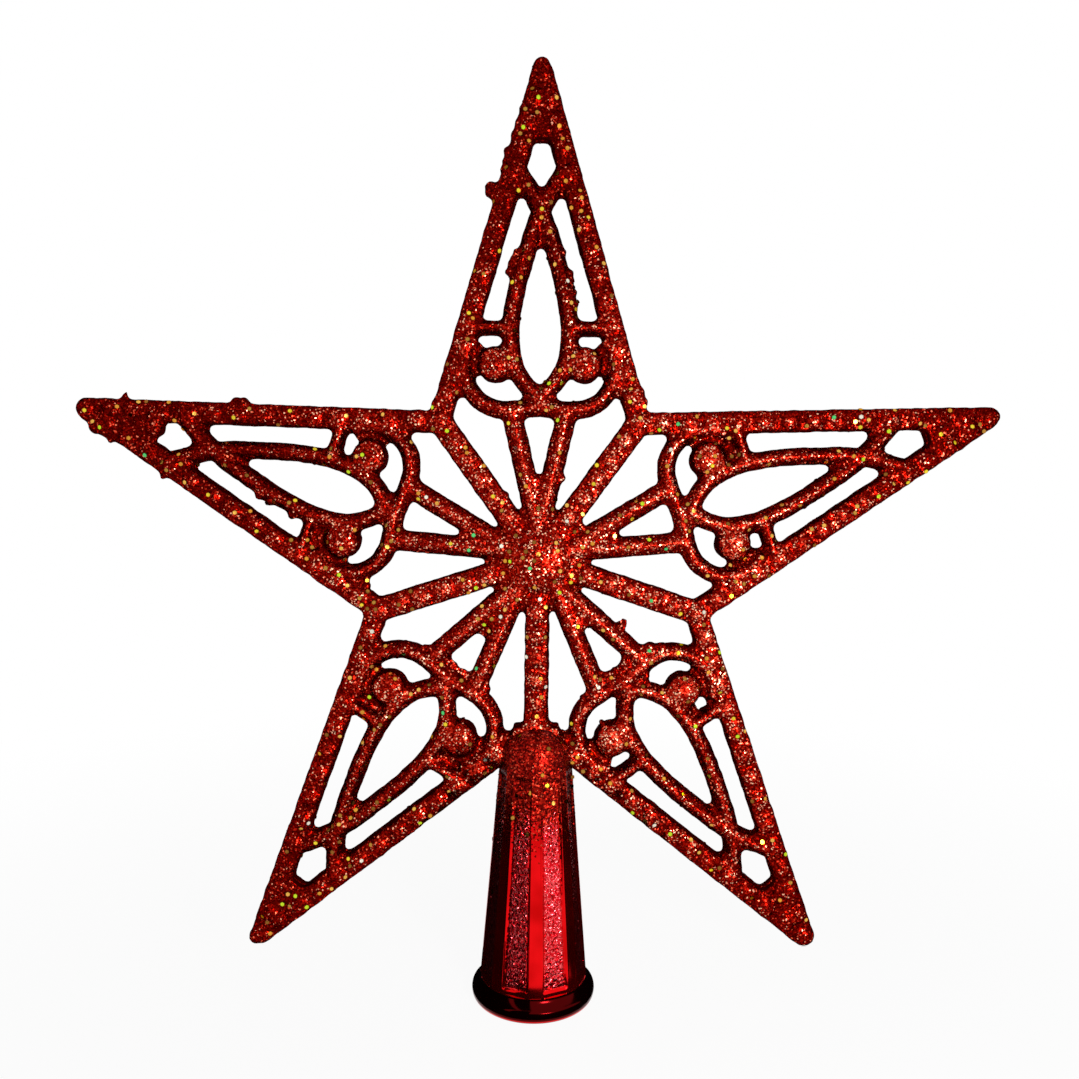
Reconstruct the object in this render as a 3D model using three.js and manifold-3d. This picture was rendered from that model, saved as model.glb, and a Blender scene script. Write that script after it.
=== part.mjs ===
// A tree-top star: two filigree mouldings joined back to back, held in the slotted head of a tapered socket.
// Millimetres, +Z up. The origin is the centre of the socket's foot.
// The star stands in the XZ plane, and its front faces -Y.
import * as THREE from "three";
import { mergeVertices } from "three/addons/utils/BufferGeometryUtils.js";
import Module from "manifold-3d";

const wasm = await Module();
wasm.setup();

// Star outline: radii from the middle of the hub, and widths across the bars
const armCount = 5;
const tipRadius = 104.8;
const notchNodeRadius = 36.5; // where the centre lines of two rims meet
const rimWidth = 4.7;
const spokeWidth = 5.2;
const rayWidth = 4.5;
const scrollWidth = 3.8;
const almondWidth = 3.8;

// Star thickness: heights above the joint face between the two halves, which starts at half the glue line
const glueLine = 0.1;
const rimEdgeHeight = 1.5;
const rimTopHeight = 2.1;
const rimChamfer = 0.35;
const rimEndSides = 12; // faces round the rounded end of two rims
const ridgeEdgeHeight = 1.2;
const ridgeHeight = 2.7;

// Beads along the rims and the spokes
const beadDiameter = 3.6;
const beadTopHeight = 3;
const beadSides = 6;
const rimBeadPitch = 5.4;
const spokeBeadPitch = 5;
const firstSpokeBeadRadius = 11;

// Hub: a flat plate with a domed button on it
const hubPlateRadius = 9.8;
const hubButtonRadius = 6.4;
const hubButtonWall = 2.6;
const hubButtonHeight = 4.4;
const hubSides = 20;
const domeRings = 3; // rings in the rounding of the hub button and the studs

// Rays: each arm has two ridged bars that cross near the hub and open like a V
const rayCrossingRadius = 5.6;
const rayAngle = 13;
const rayWebRadius = 18;

// Scroll: an open ring on each side of the arm's axis, with a round stud in it
const scrollCentre = { x: 7.6, y: 40.7 };
const scrollRadius = 8.6;
const scrollStartAngle = 45;
const scrollEndAngle = -88;
const scrollSteps = 6;
const scrollRise = 0.5; // how much higher the two scrolls meet than they dip
const linkRadius = 49.4; // straight bar between the slit and the scroll
const linkWidth = 3.1;
const studCentre = { x: 9.5, y: 41.6 };
const studRadius = 3.75;
const studWall = 1.6;
const studHeight = 4;
const studSides = 10;
const neckRise = 3.2; // from the stud up to where its neck starts on the almond
const neckWidth = 5;

// Almond: two bowed bars that cross above it and run on into the rims
const almondFootRise = 1.8; // from the scrolls' meeting point up to the almond's foot
const almondShoulder = { x: 4.6, y: 39.8 };
const almondBelly = { x: 6.3, y: 47 };
const almondWaist = { x: 5.75, y: 54.2 };
const almondNeck = { x: 3.4, y: 64 };
const almondCrossRadius = 74;
const almondEndShare = 0.27; // how far down the rim from the tip the almond's bar ends
const almondSteps = 9;
const tipWebRadius = 88.8; // the web between the rims fills the tip out from here

// Tab that fills the lower notch and goes down into the socket's head
const tabWidth = 10;
const tabEndRadius = 47.6;
const tabOverlap = 1;

// Locating pegs on the back half, blind holes in the front half
const pegDiameter = 1.8;
const pegLength = 1.4;
const pegSides = 8;
const pegClearance = 0.3;

// Socket: heights above its foot
const hubAboveHead = 36.1; // from the top of the head up to the middle of the hub
const lipRadius = 13.55;
const lipWidestHeight = 1.5;
const lipFootInset = 0.8;
const lipTopHeight = 3;
const flareTopHeight = 4.6;
const ribFootRadius = 11.7;
const ribHeadRadius = 7.75;
const headStartHeight = 53.5;
const headRise = 6.9;
const headRings = 4;
const ribCount = 8;
const facetsPerRib = 2;
const facetsPerPanel = 3;
const panelDepth = 0.45;
const panelFootMargin = 1.2; // from the flare up to the panels
const panelHeadMargin = 3.5; // from the panels up to the head
const socketTurn = 2; // degrees to the right of straight ahead
const footWall = 0.9; // walls of the bore: at its mouth, at its closed end and above it
const headWall = 1.45;
const boreCap = 3.6;
const slotClearance = 0.3;

// Colours and finishes
const glitterRed = { color: 0x9c1410, roughness: 0.35, metalness: 0.6 };
const platedRed = { color: 0x8a0508, roughness: 0.18, metalness: 0.9 };

// Sizes worked out from the ones above
const weldDistance = 1e-4;
const flatnessTolerance = 0.03; // faces this close to one plane are merged where bars join
const cutMargin = 1; // how far a cut runs past the face it opens
const jointFace = glueLine / 2;
const armStep = (2 * Math.PI) / armCount;
const tipNode = { x: 0, y: tipRadius - rimWidth / 2 };
const tipPegRadius = (tipWebRadius + tipNode.y) / 2;
const notchNode = polar(notchNodeRadius, armStep / 2);
const rimLength = Math.hypot(notchNode.x - tipNode.x, notchNode.y - tipNode.y);
const rimHalfAngle = Math.atan2(notchNode.x, tipNode.y - notchNode.y);
const rimFall = Math.PI / 2 - armStep / 2 - rimHalfAngle; // slope of the rims beside the lower notch
const notchRadius = notchNodeRadius + rimWidth / 2 / Math.cos(rimFall);
const scrollJoinRadius = scrollCentre.y - scrollRadius + scrollRise;
const linkEnd = (tipNode.y - linkRadius) * Math.tan(rimHalfAngle);
const neckRoot = { x: almondBelly.x, y: studCentre.y + neckRise };
const almondRoute = [
  { x: 0, y: scrollJoinRadius + almondFootRise },
  almondShoulder,
  almondBelly,
  almondWaist,
  almondNeck,
  { x: 0, y: almondCrossRadius },
  between(tipNode, onSide(notchNode, -1), almondEndShare),
];
const headTopHeight = headStartHeight + headRise;
const hubHeight = headTopHeight + hubAboveHead;
const panelStartHeight = flareTopHeight + panelFootMargin;
const panelEndHeight = headStartHeight - panelHeadMargin;
const slotFloorHeight = hubHeight - tabEndRadius - slotClearance;
const boreDepth = slotFloorHeight - boreCap;
const boreMouthRadius = ribFootRadius - footWall;
const boreEndRadius = ribHeadRadius - headWall;
const facetCount = ribCount * (facetsPerRib + facetsPerPanel);
const facetAngle = (2 * Math.PI) / facetCount;

// A point at a radius from the hub, turned clockwise from the arm's axis, which points along +Y.
function polar(radius, angle) {
  return { x: radius * Math.sin(angle), y: radius * Math.cos(angle) };
}

// A point a share of the way from one point to another.
function between(from, to, share) {
  return { x: from.x + (to.x - from.x) * share, y: from.y + (to.y - from.y) * share };
}

// A closed three.js geometry as a solid, with its shared corners welded.
function solidFrom(geometry) {
  const bare = geometry.clone();
  bare.deleteAttribute("normal");
  bare.deleteAttribute("uv");
  const welded = mergeVertices(bare, weldDistance);
  const vertProperties = new Float32Array(welded.attributes.position.array);
  const triVerts = new Uint32Array(welded.index.array);
  return new wasm.Manifold(new wasm.Mesh({ numProp: 3, vertProperties, triVerts }));
}

// A solid back as a three.js geometry.
function geometryFrom(solid) {
  const mesh = solid.getMesh();
  const geometry = new THREE.BufferGeometry();
  geometry.setAttribute("position", new THREE.BufferAttribute(mesh.vertProperties, 3));
  geometry.setIndex(new THREE.BufferAttribute(mesh.triVerts, 1));
  const faceted = geometry.toNonIndexed();
  faceted.computeVertexNormals();
  return faceted;
}

function joined(solids) {
  const whole = solids.reduce((sum, piece) => sum.add(piece));
  return whole.asOriginal().simplify(flatnessTolerance);
}

// Bar sections, as [across, height] corners

function flatSection(width) {
  const half = width / 2;
  return [
    [-half, jointFace],
    [-half, rimEdgeHeight],
    [-half + rimChamfer, rimTopHeight],
    [half - rimChamfer, rimTopHeight],
    [half, rimEdgeHeight],
    [half, jointFace],
  ];
}

function ridgedSection(width) {
  const half = width / 2;
  return [
    [-half, jointFace],
    [-half, ridgeEdgeHeight],
    [0, ridgeHeight],
    [half, ridgeEdgeHeight],
    [half, jointFace],
  ];
}

// Shapes in the star's own frame: the arm's axis along +Y, height above the joint face along +Z

function inPlane(point) {
  return new THREE.Vector3(point.x, point.y, 0);
}

// A bar that follows a path in the star's plane.
function barAlong(path, steps, section) {
  const outline = new THREE.Shape(section.map(([across, height]) => new THREE.Vector2(-height, across)));
  return new THREE.ExtrudeGeometry(outline, { steps, bevelEnabled: false, extrudePath: path });
}

function straightBar(from, to, section) {
  return barAlong(new THREE.LineCurve3(inPlane(from), inPlane(to)), 1, section);
}

// A flat plate with the given outline, up to a height.
function plate(outline, height) {
  const shape = new THREE.Shape(outline.map(({ x, y }) => new THREE.Vector2(x, y)));
  const geometry = new THREE.ExtrudeGeometry(shape, { depth: height - jointFace, bevelEnabled: false });
  return geometry.translate(0, 0, jointFace);
}

// A round shape turned about +Z from [radius, height] corners that start and end on the axis.
function turned(profile, sides, centre = { x: 0, y: 0 }) {
  const points = profile.map(([radius, height]) => new THREE.Vector2(radius, height));
  const geometry = new THREE.LatheGeometry(points, sides);
  return geometry.rotateX(Math.PI / 2).translate(centre.x, centre.y, 0);
}

function disc(radius, centre, sides) {
  const rim = radius - rimChamfer;
  const profile = [
    [0, jointFace],
    [radius, jointFace],
    [radius, rimEdgeHeight],
    [rim, rimTopHeight],
    [0, rimTopHeight],
  ];
  return turned(profile, sides, centre);
}

// A dome with an upright wall below it and its top rounded in rings.
function dome(radius, wall, top, sides, centre) {
  const profile = [[0, jointFace], [radius, jointFace]];
  for (let ring = 0; ring < domeRings; ring += 1) {
    const rise = (ring / domeRings) * (Math.PI / 2);
    profile.push([radius * Math.cos(rise), wall + (top - wall) * Math.sin(rise)]);
  }
  profile.push([0, top]);
  return turned(profile, sides, centre);
}

function bead(centre) {
  const low = rimTopHeight - rimChamfer;
  return turned([[0, low], [beadDiameter / 2, rimTopHeight], [0, beadTopHeight]], beadSides, centre);
}

// Parts of one arm, for one side of its axis: side is 1 to the right and -1 to the left

function onSide(point, side) {
  return { x: point.x * side, y: point.y };
}

function rim(side) {
  const notch = onSide(notchNode, side);
  const beadGaps = Math.round(rimLength / rimBeadPitch);
  const beads = [];
  for (let i = 1; i < beadGaps; i += 1) {
    beads.push(bead(between(tipNode, notch, i / beadGaps)));
  }
  return [straightBar(notch, tipNode, flatSection(rimWidth)), ...beads];
}

function ray(side) {
  const start = { x: 0, y: rayCrossingRadius };
  const angle = THREE.MathUtils.degToRad(rayAngle);
  const reach = (scrollJoinRadius - rayCrossingRadius) / Math.cos(angle);
  const step = polar(reach, angle * side);
  const end = { x: start.x + step.x, y: start.y + step.y };
  return [straightBar(start, end, ridgedSection(rayWidth))];
}

function scroll(side) {
  const centre = onSide(scrollCentre, side);
  const first = THREE.MathUtils.degToRad(side > 0 ? scrollStartAngle : 180 - scrollStartAngle);
  const last = THREE.MathUtils.degToRad(side > 0 ? scrollEndAngle : 180 - scrollEndAngle);
  const points = [];
  for (let i = 0; i <= scrollSteps; i += 1) {
    const angle = first + (last - first) * (i / scrollSteps);
    const x = centre.x + scrollRadius * Math.cos(angle);
    const y = centre.y + scrollRadius * Math.sin(angle);
    points.push({ x, y });
  }
  points.push({ x: 0, y: scrollJoinRadius });
  const route = new THREE.CatmullRomCurve3(points.map(inPlane));
  const stud = onSide(studCentre, side);
  const linkFrom = onSide({ x: almondBelly.x, y: linkRadius }, side);
  const linkTo = onSide({ x: linkEnd, y: linkRadius }, side);
  return [
    barAlong(route, points.length, ridgedSection(scrollWidth)),
    straightBar(linkFrom, linkTo, ridgedSection(linkWidth)),
    straightBar(onSide(neckRoot, side), stud, ridgedSection(neckWidth)),
    dome(studRadius, studWall, studHeight, studSides, stud),
  ];
}

function almond(side) {
  const route = new THREE.CatmullRomCurve3(almondRoute.map((point) => inPlane(onSide(point, side))));
  return [barAlong(route, almondSteps, ridgedSection(almondWidth))];
}

// The solid tip between the rims, and the web where the two rays part.
function webs() {
  const rimAt = (tipNode.y - tipWebRadius) * Math.tan(rimHalfAngle);
  const tipWeb = [
    { x: -rimAt, y: tipWebRadius },
    { x: rimAt, y: tipWebRadius },
    tipNode,
  ];
  const spread = (rayWebRadius - rayCrossingRadius) * Math.tan(THREE.MathUtils.degToRad(rayAngle));
  const rayWeb = [
    { x: 0, y: rayCrossingRadius },
    { x: spread, y: rayWebRadius },
    { x: -spread, y: rayWebRadius },
  ];
  return [plate(tipWeb, rimTopHeight), plate(rayWeb, rimTopHeight)];
}

function spoke() {
  const beads = [];
  for (let radius = notchNodeRadius; radius > firstSpokeBeadRadius; radius -= spokeBeadPitch) {
    beads.push(bead(polar(radius, armStep / 2)));
  }
  return [
    straightBar({ x: 0, y: 0 }, notchNode, flatSection(spokeWidth)),
    disc(rimWidth / 2, notchNode, rimEndSides),
    ...beads,
  ];
}

function armShapes() {
  const tip = [disc(rimWidth / 2, tipNode, rimEndSides), bead(tipNode)];
  const sides = [1, -1].flatMap((side) => [...rim(side), ...ray(side), ...scroll(side), ...almond(side)]);
  return [...sides, ...tip, ...webs(), ...spoke()];
}

function hubShapes() {
  return [
    disc(hubPlateRadius, { x: 0, y: 0 }, hubSides),
    dome(hubButtonRadius, hubButtonWall, hubButtonHeight, hubSides),
  ];
}

function tab() {
  const half = tabWidth / 2;
  const top = -(notchRadius - tabOverlap);
  const shoulder = top - half * Math.tan(rimFall);
  const outline = [
    { x: -half, y: -tabEndRadius },
    { x: half, y: -tabEndRadius },
    { x: half, y: shoulder },
    { x: 0, y: top },
    { x: -half, y: shoulder },
  ];
  return plate(outline, beadTopHeight);
}

// Pegs, or the holes for them, at the hub, the notches and the tips.
function pegShapes(radius, low, high) {
  const profile = [[0, low], [radius, low], [radius, high], [0, high]];
  const centres = [{ x: 0, y: 0 }];
  for (let arm = 0; arm < armCount; arm += 1) {
    centres.push(polar(tipPegRadius, arm * armStep));
    centres.push(polar(notchNodeRadius, (arm + 0.5) * armStep));
  }
  return centres.map((centre) => turned(profile, pegSides, centre));
}

// One half of the star, as it leaves the mould.
function starHalf() {
  const shapes = [...hubShapes(), tab()];
  const arm = armShapes();
  for (let k = 0; k < armCount; k += 1) {
    shapes.push(...arm.map((shape) => shape.clone().rotateZ(-k * armStep)));
  }
  return joined(shapes.map(solidFrom));
}

// The socket's parts, in its own frame: axis along +Z, foot at 0

// Radius of the ribs at a height, less an inset.
function coneRadius(height, inset) {
  const share = (height - flareTopHeight) / (headStartHeight - flareTopHeight);
  return ribFootRadius + (ribHeadRadius - ribFootRadius) * share - inset;
}

function socketOutside() {
  const profile = [
    [0, 0],
    [lipRadius - lipFootInset, 0],
    [lipRadius, lipWidestHeight],
    [(lipRadius + ribFootRadius) / 2, lipTopHeight],
    [ribFootRadius, flareTopHeight],
  ];
  for (let ring = 0; ring < headRings; ring += 1) {
    const rise = (ring / headRings) * (Math.PI / 2);
    const height = headStartHeight + (headTopHeight - headStartHeight) * Math.sin(rise);
    profile.push([ribHeadRadius * Math.cos(rise), height]);
  }
  profile.push([0, headTopHeight]);
  return solidFrom(turned(profile, facetCount));
}

// The space in front of one recessed panel, down to the panel's floor.
function panelSpace(index) {
  const half = (facetsPerPanel * facetAngle) / 2;
  const middle = (index + 0.5) * (facetsPerRib + facetsPerPanel) * facetAngle;
  const reach = (lipRadius + cutMargin) / Math.cos(half);
  const sector = new THREE.Shape([
    new THREE.Vector2(0, 0),
    new THREE.Vector2(reach * Math.cos(middle - half), reach * Math.sin(middle - half)),
    new THREE.Vector2(reach * Math.cos(middle + half), reach * Math.sin(middle + half)),
  ]);
  const depth = panelEndHeight - panelStartHeight;
  const wedge = new THREE.ExtrudeGeometry(sector, { depth, bevelEnabled: false });
  return solidFrom(wedge.translate(0, 0, panelStartHeight)).subtract(panelCore());
}

function panelCore() {
  const profile = [
    [0, 0],
    [coneRadius(0, panelDepth), 0],
    [coneRadius(headStartHeight, panelDepth), headStartHeight],
    [0, headStartHeight],
  ];
  return solidFrom(turned(profile, facetCount));
}

function bore() {
  const profile = [
    [0, -cutMargin],
    [boreMouthRadius, -cutMargin],
    [boreMouthRadius, 0],
    [boreEndRadius, boreDepth],
    [0, boreDepth],
  ];
  return solidFrom(turned(profile, facetCount));
}

// The slot across the head: it clears the rims, the notch and the tab on every side.
function headSlot() {
  const thickness = 2 * (beadTopHeight + slotClearance);
  const reach = ribHeadRadius + cutMargin;
  const peak = hubHeight - notchRadius - slotClearance / Math.cos(rimFall);
  const half = tabWidth / 2 + slotClearance;
  const side = (x) => peak - x * Math.tan(rimFall);
  const outline = [
    [-half, slotFloorHeight],
    [half, slotFloorHeight],
    [half, side(half)],
    [reach, side(reach)],
    [reach, hubHeight],
    [-reach, hubHeight],
    [-reach, side(reach)],
    [-half, side(half)],
  ];
  const shape = new THREE.Shape(outline.map(([x, height]) => new THREE.Vector2(x, height)));
  const slab = new THREE.ExtrudeGeometry(shape, { depth: thickness, bevelEnabled: false });
  return solidFrom(slab.rotateX(Math.PI / 2).translate(0, thickness / 2, 0));
}

function socketBody() {
  let body = socketOutside();
  for (let index = 0; index < ribCount; index += 1) {
    body = body.subtract(panelSpace(index));
  }
  return body.subtract(bore());
}

// Assembly
function namedMesh(name, geometry, finish) {
  const mesh = new THREE.Mesh(geometry, new THREE.MeshStandardMaterial(finish));
  mesh.name = name;
  return mesh;
}

const half = starHalf();
const pegs = pegShapes(pegDiameter / 2, -pegLength, rimEdgeHeight).map(solidFrom);
const holeDepth = pegLength + pegClearance;
const holes = pegShapes(pegDiameter / 2 + pegClearance, 0, holeDepth).map(solidFrom);

const starFront = namedMesh("star_front", geometryFrom(half.subtract(joined(holes))), glitterRed);
starFront.rotation.x = Math.PI / 2;
starFront.position.z = hubHeight;

const starBack = namedMesh("star_back", geometryFrom(half.add(joined(pegs))), glitterRed);
starBack.rotation.set(Math.PI / 2, Math.PI, 0);
starBack.position.z = hubHeight;

// The ribs are turned a little about the axis, and the slot is then cut in line with the star.
const quarter = Math.PI / 2;
const ribTurn = (facetsPerRib * facetAngle) / 2 - quarter + THREE.MathUtils.degToRad(socketTurn);
const turnedBody = solidFrom(geometryFrom(socketBody()).rotateZ(ribTurn));
const socket = namedMesh("socket", geometryFrom(turnedBody.subtract(headSlot())), platedRed);

const topper = new THREE.Group();
topper.add(starFront, starBack, socket);

export default topper;
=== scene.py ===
"""A red glittered star for the top of a tree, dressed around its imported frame.

The star's two filigree mouldings are modelled with round beads, smooth scrolls and the soft
fillets of a thick glue coat, and real glitter flakes lie on them. The tapered socket has
polished ribs, stippled panels and a glitter coat that fades down from its head.
"""
import logging
import math
from dataclasses import dataclass
from enum import Enum

import bpy
import numpy as np
from mathutils import Euler, Matrix, Vector


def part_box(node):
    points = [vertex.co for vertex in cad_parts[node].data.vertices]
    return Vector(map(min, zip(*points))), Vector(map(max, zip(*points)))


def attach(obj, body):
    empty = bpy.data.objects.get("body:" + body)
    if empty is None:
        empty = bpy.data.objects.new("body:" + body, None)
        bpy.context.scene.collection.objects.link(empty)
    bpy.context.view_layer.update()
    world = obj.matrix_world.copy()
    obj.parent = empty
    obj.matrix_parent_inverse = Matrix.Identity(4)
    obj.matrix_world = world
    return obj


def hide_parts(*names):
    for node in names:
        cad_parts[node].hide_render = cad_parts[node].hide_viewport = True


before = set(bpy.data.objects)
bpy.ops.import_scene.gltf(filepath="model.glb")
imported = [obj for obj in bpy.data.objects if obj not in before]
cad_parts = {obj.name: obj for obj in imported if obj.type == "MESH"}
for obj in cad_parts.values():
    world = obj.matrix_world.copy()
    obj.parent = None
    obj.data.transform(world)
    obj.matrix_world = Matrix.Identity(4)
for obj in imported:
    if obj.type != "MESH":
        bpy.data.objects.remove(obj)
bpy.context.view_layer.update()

log = logging.getLogger("christmas_star")

MM = 0.001
ROOT = "root"
WELD = 0.01 * MM
# The range that holds nearly all the values of a noise texture
NOISE_LOW, NOISE_HIGH = 0.3, 0.7

Point = tuple[float, float]
Colour = tuple[float, float, float]
Stops = tuple[tuple[float, Colour], ...]


class Face(Enum):
    """The side of the topper that a star moulding makes, with the turn that puts it there."""

    FRONT = 0.0
    BACK = math.pi


# Bench work: small steps that every piece shares


def select_only(*pieces: bpy.types.Object) -> None:
    """Selects these objects alone and makes the first one active.

    Args:
        pieces: The objects to select.
    """
    bpy.ops.object.select_all(action="DESELECT")
    for piece in pieces:
        piece.select_set(True)
    bpy.context.view_layer.objects.active = pieces[0]


def joined(pieces: list[bpy.types.Object], name: str) -> bpy.types.Object:
    """Joins objects into one.

    Args:
        pieces: The objects to join.
        name: The name of the whole.

    Returns:
        The joined object.
    """
    select_only(*pieces)
    bpy.ops.object.join()
    whole = bpy.context.active_object
    whole.name = name
    whole.data.name = name
    return whole


def apply_place(piece: bpy.types.Object) -> None:
    """Moves an object's place, turn and scale into its mesh."""
    select_only(piece)
    bpy.ops.object.transform_apply(location=True, rotation=True, scale=True)


def close_up(piece: bpy.types.Object) -> None:
    """Merges doubled corners and points all faces outwards."""
    select_only(piece)
    bpy.ops.object.mode_set(mode="EDIT")
    bpy.ops.mesh.select_all(action="SELECT")
    bpy.ops.mesh.remove_doubles(threshold=WELD)
    bpy.ops.mesh.normals_make_consistent(inside=False)
    bpy.ops.object.mode_set(mode="OBJECT")


def put_in_order(piece: bpy.types.Object) -> None:
    """Sorts a mesh's faces by their corners, so that it's the same mesh in each run."""
    places = [tuple(vertex.co) for vertex in piece.data.vertices]
    faces = []
    for face in piece.data.polygons:
        corners = list(face.vertices)
        first = corners.index(min(corners))
        faces.append(tuple(corners[first:] + corners[:first]))
    piece.data.clear_geometry()
    piece.data.from_pydata(places, [], sorted(faces))
    piece.data.update()


def apply_modifier(piece: bpy.types.Object, kind: str, **settings: object) -> None:
    """Adds a modifier with the given settings and applies it.

    Args:
        piece: The object to change.
        kind: The modifier's type.
        settings: Values for the modifier's own properties.
    """
    select_only(piece)
    modifier = piece.modifiers.new(kind.lower(), kind)
    for key, value in settings.items():
        setattr(modifier, key, value)
    bpy.ops.object.modifier_apply(modifier=modifier.name)


def copy_of(piece: bpy.types.Object, name: str) -> bpy.types.Object:
    """A copy of an object with a mesh of its own, linked into the scene."""
    copy = piece.copy()
    copy.data = piece.data.copy()
    copy.name = name
    bpy.context.scene.collection.objects.link(copy)
    return copy


def read_places(piece: bpy.types.Object) -> np.ndarray:
    """The places of a mesh's corners, one row each."""
    places = np.empty(len(piece.data.vertices) * 3)
    piece.data.vertices.foreach_get("co", places)
    return places.reshape(-1, 3)


def write_places(piece: bpy.types.Object, places: np.ndarray) -> None:
    """Moves a mesh's corners to new places."""
    piece.data.vertices.foreach_set("co", places.ravel())
    piece.data.update()


def write_attribute(piece: bpy.types.Object, name: str, values: np.ndarray) -> None:
    """Stores one number for each corner of a mesh under a name."""
    attribute = piece.data.attributes.new(name, "FLOAT", "POINT")
    attribute.data.foreach_set("value", values.astype(np.float32))


def smooth_step(value: np.ndarray, low: float, high: float) -> np.ndarray:
    """Rises smoothly from 0 at one value to 1 at another."""
    share = np.clip((value - low) / (high - low), 0, 1)
    return share * share * (3 - 2 * share)


def triangle_count(piece: bpy.types.Object) -> int:
    """The number of triangles in an object's mesh."""
    piece.data.calc_loop_triangles()
    return len(piece.data.loop_triangles)


def hand_over(piece: bpy.types.Object, node: str | None = None) -> None:
    """Fixes a finished piece to the frame and reports it.

    Args:
        piece: The finished object, in place.
        node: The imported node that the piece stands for, if there is one.
    """
    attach(piece, ROOT)
    if node:
        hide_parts(node)
    log.info("%s: %d triangles", piece.name, triangle_count(piece))


# Node trees, for the finishes and for strewing glitter


class Tree:
    """A node tree, with short calls that add its nodes and wire them."""

    def __init__(self, tree: bpy.types.NodeTree) -> None:
        """Takes the tree to work on."""
        self.nodes = tree.nodes
        self.links = tree.links

    def add(self, kind: str, **settings: object) -> bpy.types.Node:
        """Adds a node and sets its properties.

        Args:
            kind: The node's type.
            settings: Values for the node's own properties.

        Returns:
            The new node.
        """
        node = self.nodes.new(kind)
        for key, value in settings.items():
            setattr(node, key, value)
        return node

    def link(self, source: bpy.types.NodeSocket, target: bpy.types.NodeSocket) -> None:
        """Wires one socket to another."""
        self.links.new(source, target)

    def feed(self, socket: bpy.types.NodeSocket, value: object) -> None:
        """Sets a socket to a value, or wires it if the value is a socket."""
        if isinstance(value, bpy.types.NodeSocket):
            self.link(value, socket)
        else:
            socket.default_value = value

    def maths(self, operation: str, *values: object) -> bpy.types.NodeSocket:
        """The result of a sum on numbers or sockets."""
        node = self.add("ShaderNodeMath", operation=operation)
        for socket, value in zip(node.inputs, values):
            self.feed(socket, value)
        return node.outputs[0]

    def vector_maths(self, operation: str, *values: object) -> bpy.types.NodeSocket:
        """The result of a sum on vectors or sockets."""
        node = self.add("ShaderNodeVectorMath", operation=operation)
        for socket, value in zip(node.inputs, values):
            self.feed(socket, value)
        return node.outputs[0]

    def random(self, data_type: str, seed: int) -> bpy.types.Node:
        """A random value node with its own seed."""
        node = self.add("FunctionNodeRandomValue", data_type=data_type)
        node.inputs["Seed"].default_value = seed
        return node

    def ramp(
        self, factor: bpy.types.NodeSocket, stops: Stops, stepped: bool = False
    ) -> bpy.types.NodeSocket:
        """A colour picked from a row of stops by a factor.

        Args:
            factor: The socket that picks the colour, from 0 to 1.
            stops: The places of the colours on the row, and the colours.
            stepped: Whether one colour runs up to the next without a blend.

        Returns:
            The colour's socket.
        """
        node = self.add("ShaderNodeValToRGB")
        node.color_ramp.interpolation = "CONSTANT" if stepped else "LINEAR"
        elements = node.color_ramp.elements
        while len(elements) < len(stops):
            elements.new(0.5)
        for element, (place, colour) in zip(elements, stops):
            element.position = place
            element.color = (*colour, 1)
        self.link(factor, node.inputs["Fac"])
        return node.outputs["Color"]

    def rescale(self, value: bpy.types.NodeSocket, *ends: float) -> bpy.types.NodeSocket:
        """A value moved from one range to another: from low, from high, to low, to high."""
        node = self.add("ShaderNodeMapRange", interpolation_type="SMOOTHSTEP")
        self.link(value, node.inputs["Value"])
        for name, end in zip(("From Min", "From Max", "To Min", "To Max"), ends):
            node.inputs[name].default_value = end
        return node.outputs["Result"]

    def mix(self, factor: object, low: object, high: object, blend: str = "MIX") -> bpy.types.NodeSocket:
        """A colour between two colours."""
        node = self.add("ShaderNodeMix", data_type="RGBA", blend_type=blend)
        self.feed(node.inputs["Factor"], factor)
        self.feed(node.inputs[6], low)
        self.feed(node.inputs[7], high)
        return node.outputs[2]


# Drawing tools: bars, plates and domes that lie in the plane of the star


def drawn_curve(points: list[Point], smooth: bool, closed: bool) -> bpy.types.Object:
    """A curve through points in the XY plane.

    Args:
        points: The points, in order.
        smooth: Whether the curve bends smoothly through its points.
        closed: Whether it runs back to its first point.

    Returns:
        The curve object.
    """
    data = bpy.data.curves.new("route", "CURVE")
    data.dimensions = "3D"
    data.twist_mode = "Z_UP"
    spline = data.splines.new("BEZIER" if smooth else "POLY")
    spline.use_cyclic_u = closed
    if smooth:
        spline.bezier_points.add(len(points) - 1)
        for knot, (x, y) in zip(spline.bezier_points, points):
            knot.co = (x, y, 0)
            knot.handle_left_type = knot.handle_right_type = "AUTO"
    else:
        spline.points.add(len(points) - 1)
        for knot, (x, y) in zip(spline.points, points):
            knot.co = (x, y, 0, 1)
    curve = bpy.data.objects.new("route", data)
    bpy.context.scene.collection.objects.link(curve)
    return curve


def swept_bar(route: list[Point], section: list[Point], smooth: bool = False) -> bpy.types.Object:
    """A closed bar with one section all along a route.

    Args:
        route: The points that the bar's middle follows.
        section: The section's corners, across the bar and above the joint.
        smooth: Whether the bar bends smoothly through its points.

    Returns:
        The bar as a mesh object.
    """
    profile = drawn_curve(section, False, True)
    bar = drawn_curve(route, smooth, False)
    bar.data.bevel_mode = "OBJECT"
    bar.data.bevel_object = profile
    bar.data.use_fill_caps = True
    select_only(bar)
    bpy.ops.object.convert(target="MESH")
    bpy.data.objects.remove(profile)
    close_up(bar)
    return bar


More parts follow.
